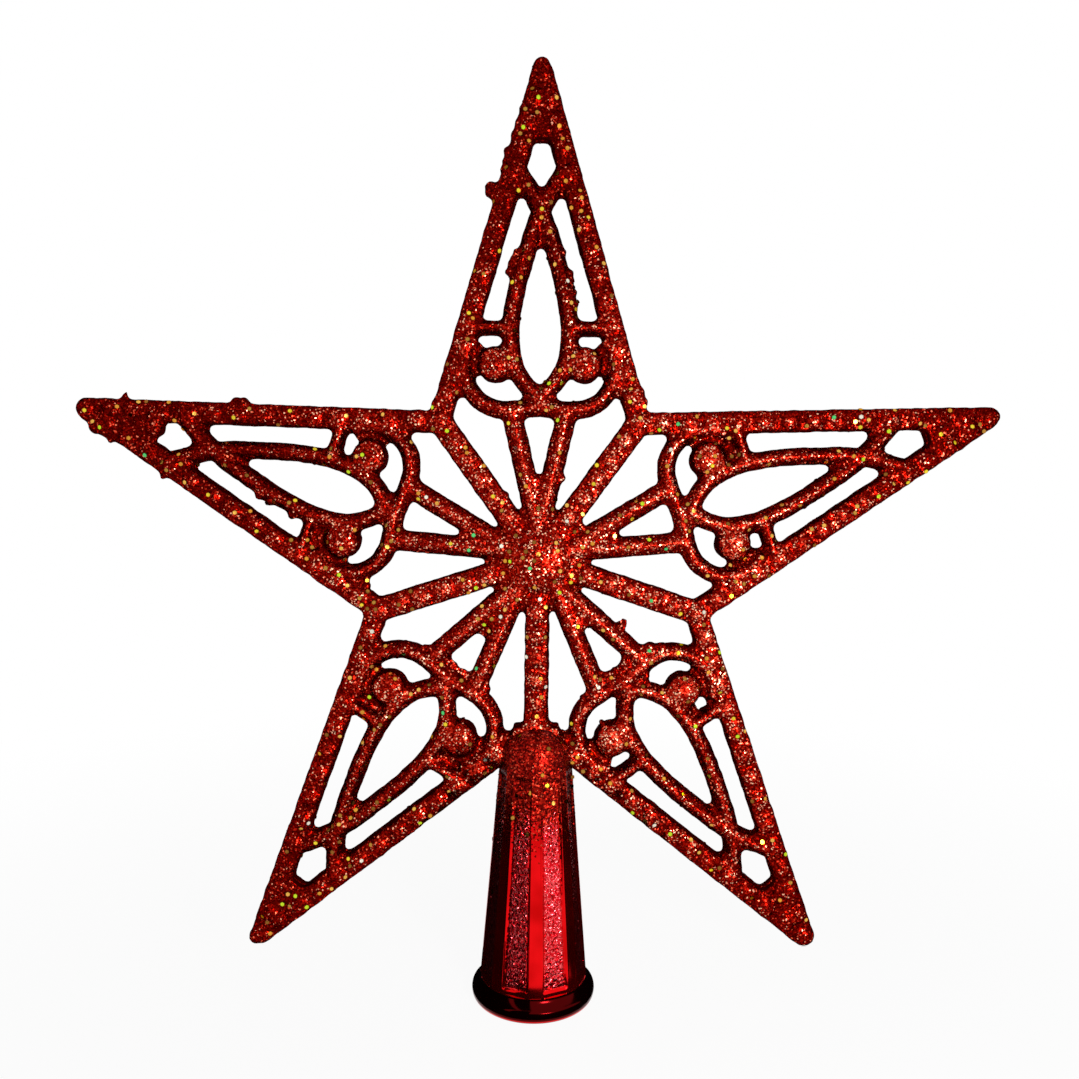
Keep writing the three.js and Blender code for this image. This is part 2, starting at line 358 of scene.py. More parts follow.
def plate(outline: list[Point], low: float, high: float) -> bpy.types.Object:
    """A flat plate with a given outline.

    Args:
        outline: The corners of the plate.
        low: The height of its under side.
        high: The height of its upper side.

    Returns:
        The plate as a mesh object.
    """
    bpy.ops.object.select_all(action="DESELECT")
    bpy.ops.mesh.primitive_circle_add(vertices=len(outline), fill_type="NGON", location=(0, 0, 0))
    piece = bpy.context.active_object
    for vertex, (x, y) in zip(piece.data.vertices, outline):
        vertex.co = (x, y, low)
    bpy.ops.object.mode_set(mode="EDIT")
    bpy.ops.mesh.select_all(action="SELECT")
    bpy.ops.mesh.extrude_region_move(TRANSFORM_OT_translate={"value": (0, 0, high - low)})
    bpy.ops.object.mode_set(mode="OBJECT")
    close_up(piece)
    return piece


def dome(centre: Point, radius: float, foot: float, wall: float, top: float) -> bpy.types.Object:
    """A round boss with an upright wall and a domed top.

    Args:
        centre: Its middle in the star's plane.
        radius: The radius of its wall.
        foot: The height where it starts.
        wall: The height where the rounding starts.
        top: The height of its top.

    Returns:
        The boss as a mesh object.
    """
    bpy.ops.object.select_all(action="DESELECT")
    bpy.ops.mesh.primitive_uv_sphere_add(segments=32, ring_count=16, radius=radius)
    piece = bpy.context.active_object
    bpy.ops.object.mode_set(mode="EDIT")
    bpy.ops.mesh.select_all(action="SELECT")
    bpy.ops.mesh.bisect(plane_co=(0, 0, 0), plane_no=(0, 0, 1), clear_inner=True)
    bpy.ops.mesh.extrude_edges_move(TRANSFORM_OT_translate={"value": (0, 0, -(wall - foot))})
    bpy.ops.mesh.edge_face_add()
    bpy.ops.object.mode_set(mode="OBJECT")
    stretch = (top - wall) / radius
    for vertex in piece.data.vertices:
        if vertex.co.z > 0:
            vertex.co.z *= stretch
    piece.location = (*centre, wall)
    apply_place(piece)
    close_up(piece)
    return piece


def spun_sheet(points: list[Point], steps: int, start: float, sweep: float) -> bpy.types.Object:
    """A sheet made by turning a line about the Z axis.

    Args:
        points: The line's corners, as radius and height.
        steps: The number of faces round the sheet.
        start: The angle from +X where it starts.
        sweep: The angle that it turns through.

    Returns:
        The sheet as a mesh object.
    """
    mesh = bpy.data.meshes.new("spun_sheet")
    turned = [(x * math.cos(start), x * math.sin(start), z) for x, z in points]
    mesh.from_pydata(turned, [(i, i + 1) for i in range(len(points) - 1)], [])
    piece = bpy.data.objects.new("spun_sheet", mesh)
    bpy.context.scene.collection.objects.link(piece)
    select_only(piece)
    bpy.ops.object.mode_set(mode="EDIT")
    bpy.ops.mesh.select_all(action="SELECT")
    bpy.ops.mesh.spin(steps=steps, angle=-sweep, center=(0, 0, 0), axis=(0, 0, 1))
    bpy.ops.object.mode_set(mode="OBJECT")
    close_up(piece)
    put_in_order(piece)
    return piece


def along(start: Point, end: Point, share: float) -> Point:
    """The point a share of the way from one point to another."""
    return (start[0] + (end[0] - start[0]) * share, start[1] + (end[1] - start[1]) * share)


def polar(radius: float, angle: float, centre: Point = (0.0, 0.0)) -> Point:
    """A point at a radius from a centre, at an angle from +X."""
    return (centre[0] + radius * math.cos(angle), centre[1] + radius * math.sin(angle))


# The star


@dataclass(frozen=True)
class GlueLump:
    """A blob or film of hardened glue, from the star's middle to the right and up."""

    x: float
    y: float
    radius: float
    height: float = 1.1 * MM
    flatness: float = 1.0


@dataclass(frozen=True)
class ArmSet:
    """How far one arm is off its ideal place, as seen from the front."""

    stretch: float
    turn: float


@dataclass
class StarMoulding:
    """One half of the star, with round beads, ridged scrolls and a thick coat of glue.

    Lengths are in metres. An arm's axis runs along +Y from the middle of the hub, and
    heights are measured from the joint between the two halves.
    """

    face: Face
    lumps: tuple[GlueLump, ...] = ()
    sets: tuple[ArmSet, ...] = (
        ArmSet(0.006, math.radians(-0.17)),
        ArmSet(-0.005, math.radians(-0.17)),
        ArmSet(-0.003, math.radians(0.2)),
        ArmSet(0.0, math.radians(-0.17)),
        ArmSet(-0.006, math.radians(-0.1)),
    )
    tip_radius: float = 104.8 * MM
    notch_radius: float = 36.5 * MM
    joint: float = 0.05 * MM
    rim_width: float = 4.7 * MM
    rim_edge: float = 1.5 * MM
    rim_top: float = 2.1 * MM
    rim_bevel: float = 0.35 * MM
    spoke_width: float = 5.2 * MM
    ridge_edge: float = 1.2 * MM
    ridge_top: float = 2.7 * MM
    ridge_crest: float = 0.7 * MM
    bead_radius: float = 1.8 * MM
    bead_top: float = 3.0 * MM
    rim_bead_pitch: float = 5.4 * MM
    spoke_bead_pitch: float = 5.0 * MM
    first_spoke_bead: float = 11.0 * MM
    hub_radius: float = 9.8 * MM
    button_radius: float = 6.8 * MM
    button_wall: float = 2.1 * MM
    button_top: float = 4.2 * MM
    ray_width: float = 4.5 * MM
    ray_start: float = 5.6 * MM
    ray_end: float = 33.0 * MM
    ray_angle: float = math.radians(13)
    ray_web: float = 18.0 * MM
    scroll_width: float = 3.8 * MM
    scroll_centre: Point = (7.6 * MM, 40.7 * MM)
    scroll_radius: float = 8.6 * MM
    scroll_start: float = math.radians(45)
    scroll_end: float = math.radians(-88)
    scroll_steps: int = 8
    scroll_join: float = 32.6 * MM
    link_width: float = 3.1 * MM
    link_radius: float = 49.4 * MM
    link_start: float = 6.0 * MM
    link_end: float = 16.0 * MM
    stud_centre: Point = (9.5 * MM, 41.6 * MM)
    stud_radius: float = 3.75 * MM
    stud_wall: float = 1.6 * MM
    stud_top: float = 4.0 * MM
    neck_root: Point = (6.0 * MM, 44.8 * MM)
    neck_width: float = 5.0 * MM
    almond_width: float = 3.8 * MM
    almond_route: tuple[Point, ...] = (
        (0, 34.4 * MM),
        (4.6 * MM, 39.8 * MM),
        (6.3 * MM, 47 * MM),
        (5.75 * MM, 54.2 * MM),
        (3.4 * MM, 64 * MM),
        (0, 74 * MM),
        (-5.2 * MM, 82.8 * MM),
    )
    tip_web: float = 88.8 * MM
    tab_width: float = 10.0 * MM
    tab_end: float = 47.6 * MM
    voxel: float = 0.34 * MM
    glue_fill: float = 0.52 * MM
    hub_fill: float = 0.45
    hub_fill_end: float = 24.0 * MM
    lump_size: float = 2.6 * MM
    lump_depth: float = 0.42 * MM
    budget: int = 185_000

    @property
    def arms(self) -> int:
        """The number of arms."""
        return len(self.sets)

    @property
    def tip(self) -> Point:
        """Where the middle lines of an arm's two rims meet."""
        return (0.0, self.tip_radius - self.rim_width / 2)

    def notch(self, side: int) -> Point:
        """Where an arm's rim meets the next arm's, on one side."""
        half_step = math.pi / self.arms
        x, y = self.notch_radius * math.sin(half_step), self.notch_radius * math.cos(half_step)
        return (x * side, y)

    def flat_section(self, width: float) -> list[Point]:
        """The section of a rim or spoke: flat on top, with eased edges."""
        half, inner = width / 2, width / 2 - self.rim_bevel
        return [
            (-half, self.joint),
            (half, self.joint),
            (half, self.rim_edge),
            (inner, self.rim_top),
            (-inner, self.rim_top),
            (-half, self.rim_edge),
        ]

    def ridged_section(self, width: float) -> list[Point]:
        """The section of a ray, scroll or almond: two slopes up to a narrow crest."""
        half, crest = width / 2, self.ridge_crest / 2
        return [
            (-half, self.joint),
            (half, self.joint),
            (half, self.ridge_edge),
            (crest, self.ridge_top),
            (-crest, self.ridge_top),
            (-half, self.ridge_edge),
        ]

    def bead(self) -> bpy.types.Object:
        """One round bead, with its foot inside the bar that carries it."""
        foot = self.rim_top - self.rim_bevel
        return dome((0, 0), self.bead_radius, foot, self.rim_top, self.bead_top)

    def bead_places(self) -> list[Point]:
        """The middles of the beads on the rims, the tip and the spoke of one arm."""
        places = [self.tip]
        for side in (1, -1):
            end = self.notch(side)
            length = math.dist(self.tip, end)
            gaps = round(length / self.rim_bead_pitch)
            places += [along(self.tip, end, i / gaps) for i in range(1, gaps)]
        radius = self.notch_radius
        while radius > self.first_spoke_bead:
            places.append(along((0, 0), self.notch(1), radius / self.notch_radius))
            radius -= self.spoke_bead_pitch
        return places

    def rims_and_spoke(self) -> list[bpy.types.Object]:
        """The two rims of an arm, the spoke beside it, and the solid tip between the rims."""
        rim = self.flat_section(self.rim_width)
        bars = [swept_bar([self.notch(side), self.tip], rim) for side in (1, -1)]
        bars.append(swept_bar([(0, 0), self.notch(1)], self.flat_section(self.spoke_width)))
        for end in (self.tip, self.notch(1)):
            bars.append(dome(end, self.rim_width / 2, self.joint, self.rim_edge, self.rim_top))
        notch_x, notch_y = self.notch(1)
        half = (self.tip[1] - self.tip_web) * notch_x / (self.tip[1] - notch_y)
        web = [(-half, self.tip_web), (half, self.tip_web), self.tip]
        bars.append(plate(web, self.joint, self.rim_top))
        return bars

    def rays(self) -> list[bpy.types.Object]:
        """The two rays that open like a V from the hub, with the web between them."""
        start = (0.0, self.ray_start)
        reach = self.ray_end - self.ray_start
        spread = math.tan(self.ray_angle)
        section = self.ridged_section(self.ray_width)
        bars = [swept_bar([start, (side * reach * spread, self.ray_end)], section) for side in (1, -1)]
        half = (self.ray_web - self.ray_start) * spread
        web = [start, (half, self.ray_web), (-half, self.ray_web)]
        return [*bars, plate(web, self.joint, self.rim_top)]

    def scroll(self, side: int) -> list[bpy.types.Object]:
        """The open ring, the straight link, the stud and its neck on one side of an arm."""
        turn = (self.scroll_end - self.scroll_start) / self.scroll_steps
        route = [
            polar(self.scroll_radius, self.scroll_start + turn * i, self.scroll_centre)
            for i in range(self.scroll_steps + 1)
        ]
        route.append((0.0, self.scroll_join))
        link = [(self.link_start, self.link_radius), (self.link_end, self.link_radius)]
        neck = [self.neck_root, self.stud_centre]
        bars = [
            swept_bar(self.mirrored(route, side), self.ridged_section(self.scroll_width), True),
            swept_bar(self.mirrored(link, side), self.ridged_section(self.link_width)),
            swept_bar(self.mirrored(neck, side), self.ridged_section(self.neck_width)),
        ]
        (stud,) = self.mirrored([self.stud_centre], side)
        bars.append(dome(stud, self.stud_radius, self.joint, self.stud_wall, self.stud_top))
        return bars

    def almond(self, side: int) -> bpy.types.Object:
        """One of the two bowed bars that cross above the almond-shaped opening."""
        route = self.mirrored(list(self.almond_route), side)
        return swept_bar(route, self.ridged_section(self.almond_width), True)

    @staticmethod
    def mirrored(points: list[Point], side: int) -> list[Point]:
        """Points on the right of an arm's axis (side 1), or the same on the left (side -1)."""
        return [(x * side, y) for x, y in points]

    def arm(self) -> bpy.types.Object:
        """One arm with all its bars and beads."""
        bars = [*self.rims_and_spoke(), *self.rays()]
        for side in (1, -1):
            bars += [*self.scroll(side), self.almond(side)]
        first = self.bead()
        for x, y in self.bead_places():
            copy = copy_of(first, "bead")
            copy.location = (x, y, 0)
            bars.append(copy)
        bpy.data.objects.remove(first)
        whole = joined(bars, "arm")
        apply_place(whole)
        return whole

    def middle(self) -> list[bpy.types.Object]:
        """The hub's plate and button, and the tab that goes into the socket's head."""
        hub = dome((0, 0), self.hub_radius, self.joint, self.rim_edge, self.rim_top)
        button = dome((0, 0), self.button_radius, self.joint, self.button_wall, self.button_top)
        half = self.tab_width / 2
        outline = [
            (-half, -self.tab_end),
            (half, -self.tab_end),
            (half, -self.notch_radius),
            (-half, -self.notch_radius),
        ]
        return [hub, button, plate(outline, self.joint, self.bead_top)]

    def glue_lumps(self) -> list[bpy.types.Object]:
        """The blobs of glue on the outline."""
        blobs = []
        for lump in self.lumps:
            bpy.ops.object.select_all(action="DESELECT")
            place = (lump.x, lump.y, lump.height)
            bpy.ops.mesh.primitive_ico_sphere_add(subdivisions=3, radius=lump.radius, location=place)
            blob = bpy.context.active_object
            blob.scale.z = lump.flatness
            apply_place(blob)
            blobs.append(blob)
        return blobs

    def swell(self, piece: bpy.types.Object, amount: float) -> None:
        """Moves the whole skin outwards, by less near the hub, where little glue has settled.

        Args:
            piece: The half's skin.
            amount: How far the skin moves, below zero for inwards.
        """
        places = read_places(piece)
        normals = np.empty(places.size)
        piece.data.vertices.foreach_get("normal", normals)
        from_middle = np.hypot(places[:, 0], places[:, 1])
        share = smooth_step(from_middle, self.hub_radius, self.hub_fill_end)
        share = self.hub_fill + (1 - self.hub_fill) * share
        write_places(piece, places + normals.reshape(-1, 3) * (amount * share)[:, None])

    def fill_corners(self, piece: bpy.types.Object) -> None:
        """Melts the bars into one skin and rounds its inner corners, as thick glue does."""
        for amount in (self.glue_fill, -self.glue_fill):
            apply_modifier(piece, "REMESH", mode="VOXEL", voxel_size=self.voxel)
            self.swell(piece, amount)
        apply_modifier(piece, "SMOOTH", factor=0.5, iterations=4)

    def roughen(self, piece: bpy.types.Object) -> None:
        """Gives the coat its slow swells, away from the joint between the halves."""
        swell = bpy.data.textures.new("swell", "CLOUDS")
        swell.noise_scale = self.lump_size
        swell.noise_depth = 2
        coated = piece.vertex_groups.new(name="coated")
        clear = self.joint + self.voxel
        high = [v.index for v in piece.data.vertices if v.co.z > clear]
        coated.add(high, 1.0, "REPLACE")
        settings = {"texture": swell, "strength": self.lump_depth, "vertex_group": coated.name}
        apply_modifier(piece, "DISPLACE", texture_coords="LOCAL", mid_level=0.5, **settings)
        piece.vertex_groups.clear()

    def build(self, hub_height: float) -> bpy.types.Object:
        """Models the whole half and stands it in its place.

        Args:
            hub_height: The height of the hub's middle above the socket's foot.

        Returns:
            The finished half, with its place in its mesh.
        """
        arm = self.arm()
        shapes = [*self.middle(), *self.glue_lumps()]
        mirror = 1 if self.face is Face.FRONT else -1
        for k in range(self.arms):
            own = self.sets[mirror * k]
            copy = copy_of(arm, "arm")
            copy.scale.y = 1 + own.stretch
            copy.rotation_euler.z = -k * 2 * math.pi / self.arms - mirror * own.turn
            shapes.append(copy)
        bpy.data.objects.remove(arm)
        piece = joined(shapes, f"star_{self.face.name.lower()}_moulding")
        apply_place(piece)
        self.fill_corners(piece)
        self.roughen(piece)
        ratio = min(1.0, self.budget / triangle_count(piece))
        apply_modifier(piece, "DECIMATE", ratio=ratio)
        piece.rotation_euler = (math.pi / 2, 0, self.face.value)
        piece.location.z = hub_height
        apply_place(piece)
        select_only(piece)
        bpy.ops.object.shade_smooth()
        return piece


# Drips of glue on the front: across from the hub, up from it, and the radius, in millimetres
DRIPS = (
    (-95.0, 27.5, 1.6), (-93.0, 26.9, 1.6), (-91.7, 25.4, 0.8), (-92.0, 24.4, 0.6),
    (-87.6, 23.6, 1.1), (-80.9, 16.9, 0.6), (-88.9, 34.2, 0.5), (-88.5, 34.7, 0.4),
    (-65.0, 33.0, 1.2), (-63.5, 33.0, 1.2), (-63.2, 16.5, 1.0), (-60.1, 13.3, 1.1),
    (-58.0, 11.8, 0.9), (-53.2, 9.1, 1.0), (-82.4, 29.2, 2.1), (-82.1, 27.2, 1.9),
    (-0.5, 104.3, 1.9), (-7.8, 84.5, 1.0), (-7.4, 86.6, 1.0), (-8.1, 82.8, 1.0), (-4.2, 95.3, 1.1),
    (-5.0, 92.6, 1.1), (-5.9, 89.9, 1.1), (-11.0, 79.0, 1.3), (-11.0, 78.0, 1.3), (-7.1, 61.4, 0.8),
    (-6.7, 63.1, 0.7), (-5.5, 65.8, 0.7), (-6.1, 64.3, 0.7), (4.6, 65.7, 0.7), (6.1, 61.4, 0.8),
    (6.4, 59.7, 0.8), (7.0, 57.2, 0.8), (7.3, 54.9, 0.8), (-7.1, 13.9, 0.8), (4.9, 17.7, 0.9),
    (9.3, 7.2, 0.8), (19.1, -22.4, 1.2), (17.4, -24.4, 1.3), (15.5, -25.1, 1.0), (24.5, -19.1, 1.5),
    (27.3, -19.0, 1.4), (23.9, -25.2, 0.9), (14.3, -35.4, 0.7), (10.1, -30.0, 0.7), (60.1, -83.2, 1.7),
    (97.8, 31.9, 1.5), (90.7, 25.6, 1.1), (-61.0, -83.7, 1.8), (21.3, 36.2, 1.3), (22.0, 34.1, 1.3),
    (-22.2, 33.1, 1.2), (-37.1, -6.1, 1.0), (-10.8, -28.4, 0.9), (-15.9, -35.0, 0.5),
    (-28.6, -18.6, 0.9), (-24.3, -19.4, 0.9),
    (18.9, -14.8, 0.42), (19.2, -13.9, 0.4), (19.2, -13.2, 0.42), (18.6, -12.8, 0.36),
)
# Films of glue over windows: the same, then the height above the joint and the flatness
FILMS = (
    (-47.5, 4.4, 2.8, 0.5, 0.2), (41.2, 23.0, 1.7, 0.5, 0.3), (39.6, 26.5, 1.4, 0.5, 0.3),
    (-36.0, -30.6, 2.8, 0.5, 0.2), (-19.0, -42.9, 2.8, 0.5, 0.2), (-19.8, -22.4, 1.4, 0.5, 0.35),
    (-18.5, -23.7, 1.5, 0.5, 0.35), (-16.3, -25.0, 1.2, 0.5, 0.35), (-11.4, -15.5, 1.6, 0.5, 0.35),
    (34.1, -32.4, 1.3, 0.5, 0.35), (37.7, -30.4, 0.9, 0.5, 0.35), (18.5, -45.6, 0.7, 0.5, 0.35),
    (46.7, 6.7, 0.8, 0.5, 0.35), (47.5, 2.2, 1.2, 0.5, 0.35),
)
FRONT_LUMPS = tuple(GlueLump(*(value * MM for value in drip)) for drip in DRIPS) + tuple(
    GlueLump(*(value * MM for value in film[:-1]), film[-1]) for film in FILMS
)


@dataclass(frozen=True)
class PaintedShine:
    """Painted light on the star: painted highlights on crests, bead tops and level faces, painted shade
    in its grooves, on its walls and on the hub's boss, fading with distance from a point near the hub.
    """

    hub: float
    boss: float = 10 * MM
    boss_core: float = 4 * MM
    boss_shade: float = 0.25
    joint: float = 0.4 * MM
    groove: float = 1.8 * MM
    crest: float = 2.8 * MM
    groove_shine: float = 0.42
    steep: float = 0.15
    level: float = 0.85
    # Painted light fades with distance from this point near the hub, as the light of a near lamp would
    middle: Point = (14 * MM, 86 * MM)
    near: float = 15 * MM
    far: float = 115 * MM
    far_dimming: float = 0.6

    def write(self, piece: bpy.types.Object) -> np.ndarray:
        """Stores the painted shine of each corner of a star moulding, and reads how level it is.

        Args:
            piece: The moulding.

        Returns:
            For each corner, from 0 on an upright wall or in the joint to 1 on a level face.
        """
        places = read_places(piece)
        normals = np.empty(places.size)
        piece.data.vertices.foreach_get("normal", normals)
        facing = np.abs(normals.reshape(-1, 3)[:, 1])
        # Painted shade on upright walls, painted highlight on level faces
        level = smooth_step(facing, self.steep, self.level)
        # Painted highlight on crests and bead tops, painted shade in the grooves
        high = smooth_step(np.abs(places[:, 1]), self.groove, self.crest)
        # Painted falloff of light away from the middle point
        away = np.hypot(places[:, 0] - self.middle[0], places[:, 2] - self.middle[1])
        lit_share = 1 - self.far_dimming * smooth_step(away, self.near, self.far)
        # Painted shade on the hub's boss
        from_hub = np.hypot(places[:, 0], places[:, 2] - self.hub)
        lit_share -= self.boss_shade * (1 - smooth_step(from_hub, self.boss_core, self.boss))
        raised = self.groove_shine + (1 - self.groove_shine) * high
        write_attribute(piece, "shine", level * lit_share * raised)
        return np.where(np.abs(places[:, 1]) > self.joint, level, 0.0)


# The socket


@dataclass
class Socket:
    """The tapered sleeve that slips over the top shoot of a tree.

    Eight polished ribs stand between recessed, stippled panels. A round lip flares out at
    the foot, and a plain dome closes the head. Lengths are in metres, heights above the foot.
    """

    lip_radius: float = 13.55 * MM
    lip_foot: float = 12.75 * MM
    lip_widest: float = 1.5 * MM
    flare_top: float = 4.6 * MM
    rib_foot: float = 11.7 * MM
    rib_head: float = 7.75 * MM
    head_start: float = 53.5 * MM
    head_top: float = 60.4 * MM
    panel_depth: float = 0.45 * MM
    panel_start: float = 5.8 * MM
    panel_end: float = 50.0 * MM
    bore_mouth: float = 10.8 * MM
    bore_end: float = 6.3 * MM
    bore_depth: float = 45.0 * MM
    ribs: int = 8
    rib_share: float = 0.4
    rib_bead: float = 0.09 * MM
    turn: float = math.radians(2)
    rib_crown: float = 0.5
    ledge: float = 0.03 * MM
    columns: int = 360
    panel_rows: int = 205
    lip_rows: int = 10
    head_rows: int = 14
    edge_ease: float = 0.035
    panel_foot_ease: float = 0.3 * MM
    panel_head_ease: float = 0.5 * MM
    head_ease: float = 3.0 * MM
    stipple_size: float = 0.5 * MM
    stipple_depth: float = 0.32 * MM
    stipple_margin: float = 0.35 * MM

    def cone_radius(self, height: np.ndarray | float) -> np.ndarray | float:
        """The radius of the ribs at a height."""
        share = (height - self.flare_top) / (self.head_start - self.flare_top)
        return self.rib_foot + (self.rib_head - self.rib_foot) * share

    def lip_profile(self) -> list[Point]:
        """The rounded lip and the hollow curve from it up to the ribs."""
        points = []
        for i in range(self.lip_rows + 1):
            angle = -math.pi / 2 + i / self.lip_rows * math.pi * 0.75
            x = self.lip_foot + (self.lip_radius - self.lip_foot) * math.cos(angle)
            points.append((x, self.lip_widest * (1 + math.sin(angle))))
        start_x, start_z = points[-1]
        for i in range(1, self.lip_rows + 1):
            rise = i / self.lip_rows
            x = self.rib_foot + (start_x - self.rib_foot) * (1 - rise) ** 2
            points.append((x, start_z + (self.flare_top - start_z) * rise))
        return points

    def profile(self) -> list[Point]:
        """The half section of the whole sleeve, from the bore's end round to the head's top."""
        points = [(0, self.bore_depth), (self.bore_end, self.bore_depth), (self.bore_mouth, 0)]
        points += self.lip_profile()
        rows = np.linspace(self.flare_top + self.ledge, self.head_start, self.panel_rows)
        points += [(self.cone_radius(z), z) for z in rows]
        for i in range(1, self.head_rows + 1):
            rise = i / self.head_rows * math.pi / 2
            z = self.head_start + (self.head_top - self.head_start) * math.sin(rise)
            points.append((self.rib_head * math.cos(rise), z))
        return points

    def cut_ribs(self, piece: bpy.types.Object) -> np.ndarray:
        """Flattens the ribs and panels and sinks the panels.

        Args:
            piece: The spun sleeve.

        Returns:
            For each corner of the mesh, how much it belongs to a panel's floor, from 0 to 1.
        """
        places = read_places(piece)
        x, y, z = places.T
        radius = np.hypot(x, y)
        pitch = 2 * math.pi / self.ribs
        front = -math.pi / 2 + self.turn
        from_rib = np.abs((np.arctan2(y, x) - front + pitch / 2) % pitch - pitch / 2)
        half_rib = pitch * self.rib_share / 2
        half_panel = pitch / 2 - half_rib
        on_rib = from_rib < half_rib
        from_middle = np.where(on_rib, from_rib, pitch / 2 - from_rib)
        half = np.where(on_rib, half_rib, half_panel)
        flat = np.cos(half) / np.cos(from_middle)
        flat = np.where(on_rib, flat + (1 - flat) * self.rib_crown, flat)
        sunk = smooth_step(from_rib, half_rib - self.edge_ease / 2, half_rib + self.edge_ease / 2)
        foot, head = self.panel_foot_ease, self.panel_head_ease
        rows = smooth_step(z, self.panel_start - foot, self.panel_start + foot)
        rows *= 1 - smooth_step(z, self.panel_end - head, self.panel_end + head)
        bead = np.exp(-(((from_rib - half_rib + self.edge_ease) / (self.edge_ease / 2)) ** 2))
        outside = radius > self.cone_radius(z) - 0.1 * MM
        body = outside & (z > self.flare_top + self.ledge / 2) & (z < self.head_start)
        fade = 1 - smooth_step(z, self.head_start - self.head_ease, self.head_start)
        target = radius * (1 + (flat - 1) * fade) - self.panel_depth * sunk * rows
        target += self.rib_bead * bead * fade
        scale = np.where(body, target / np.maximum(radius, MM), 1.0)
        write_places(piece, np.column_stack([x * scale, y * scale, z]))
        clear = (from_rib - half_rib) * radius / self.stipple_margin
        inside = smooth_step(clear, 0.4, 1.4)
        inside *= smooth_step(z, self.panel_start, self.panel_start + 2 * foot)
        return np.where(body, sunk * rows * inside, 0.0)

    def stipple(self, piece: bpy.types.Object, floors: np.ndarray) -> None:
        """Gives the panels' floors their fine pebbled grain.

        Args:
            piece: The sleeve with its panels sunk.
            floors: How much each corner belongs to a panel's floor.
        """
        grain = bpy.data.textures.new("stipple", "CLOUDS")
        grain.noise_scale = self.stipple_size
        grain.noise_depth = 0
        grain.noise_type = "HARD_NOISE"
        group = piece.vertex_groups.new(name="floors")
        for index in np.flatnonzero(floors > 0.02):
            group.add([int(index)], float(floors[index]), "REPLACE")
        settings = {"texture": grain, "strength": self.stipple_depth, "vertex_group": group.name}
        apply_modifier(piece, "DISPLACE", texture_coords="LOCAL", mid_level=0.3, **settings)
        piece.vertex_groups.clear()

    def build(self) -> bpy.types.Object:
        """Models the whole sleeve.

        Returns:
            The finished sleeve, with its place in its mesh.
        """
        piece = spun_sheet(self.profile(), self.columns, 0.0, 2 * math.pi)
        piece.name = piece.data.name = "socket_moulding"
        floors = self.cut_ribs(piece)
        self.stipple(piece, floors)
        write_attribute(piece, "panel", floors)
        select_only(piece)
        bpy.ops.object.shade_smooth_by_angle(angle=math.radians(40))
        return piece


# Glitter that is strewn over a finished surface


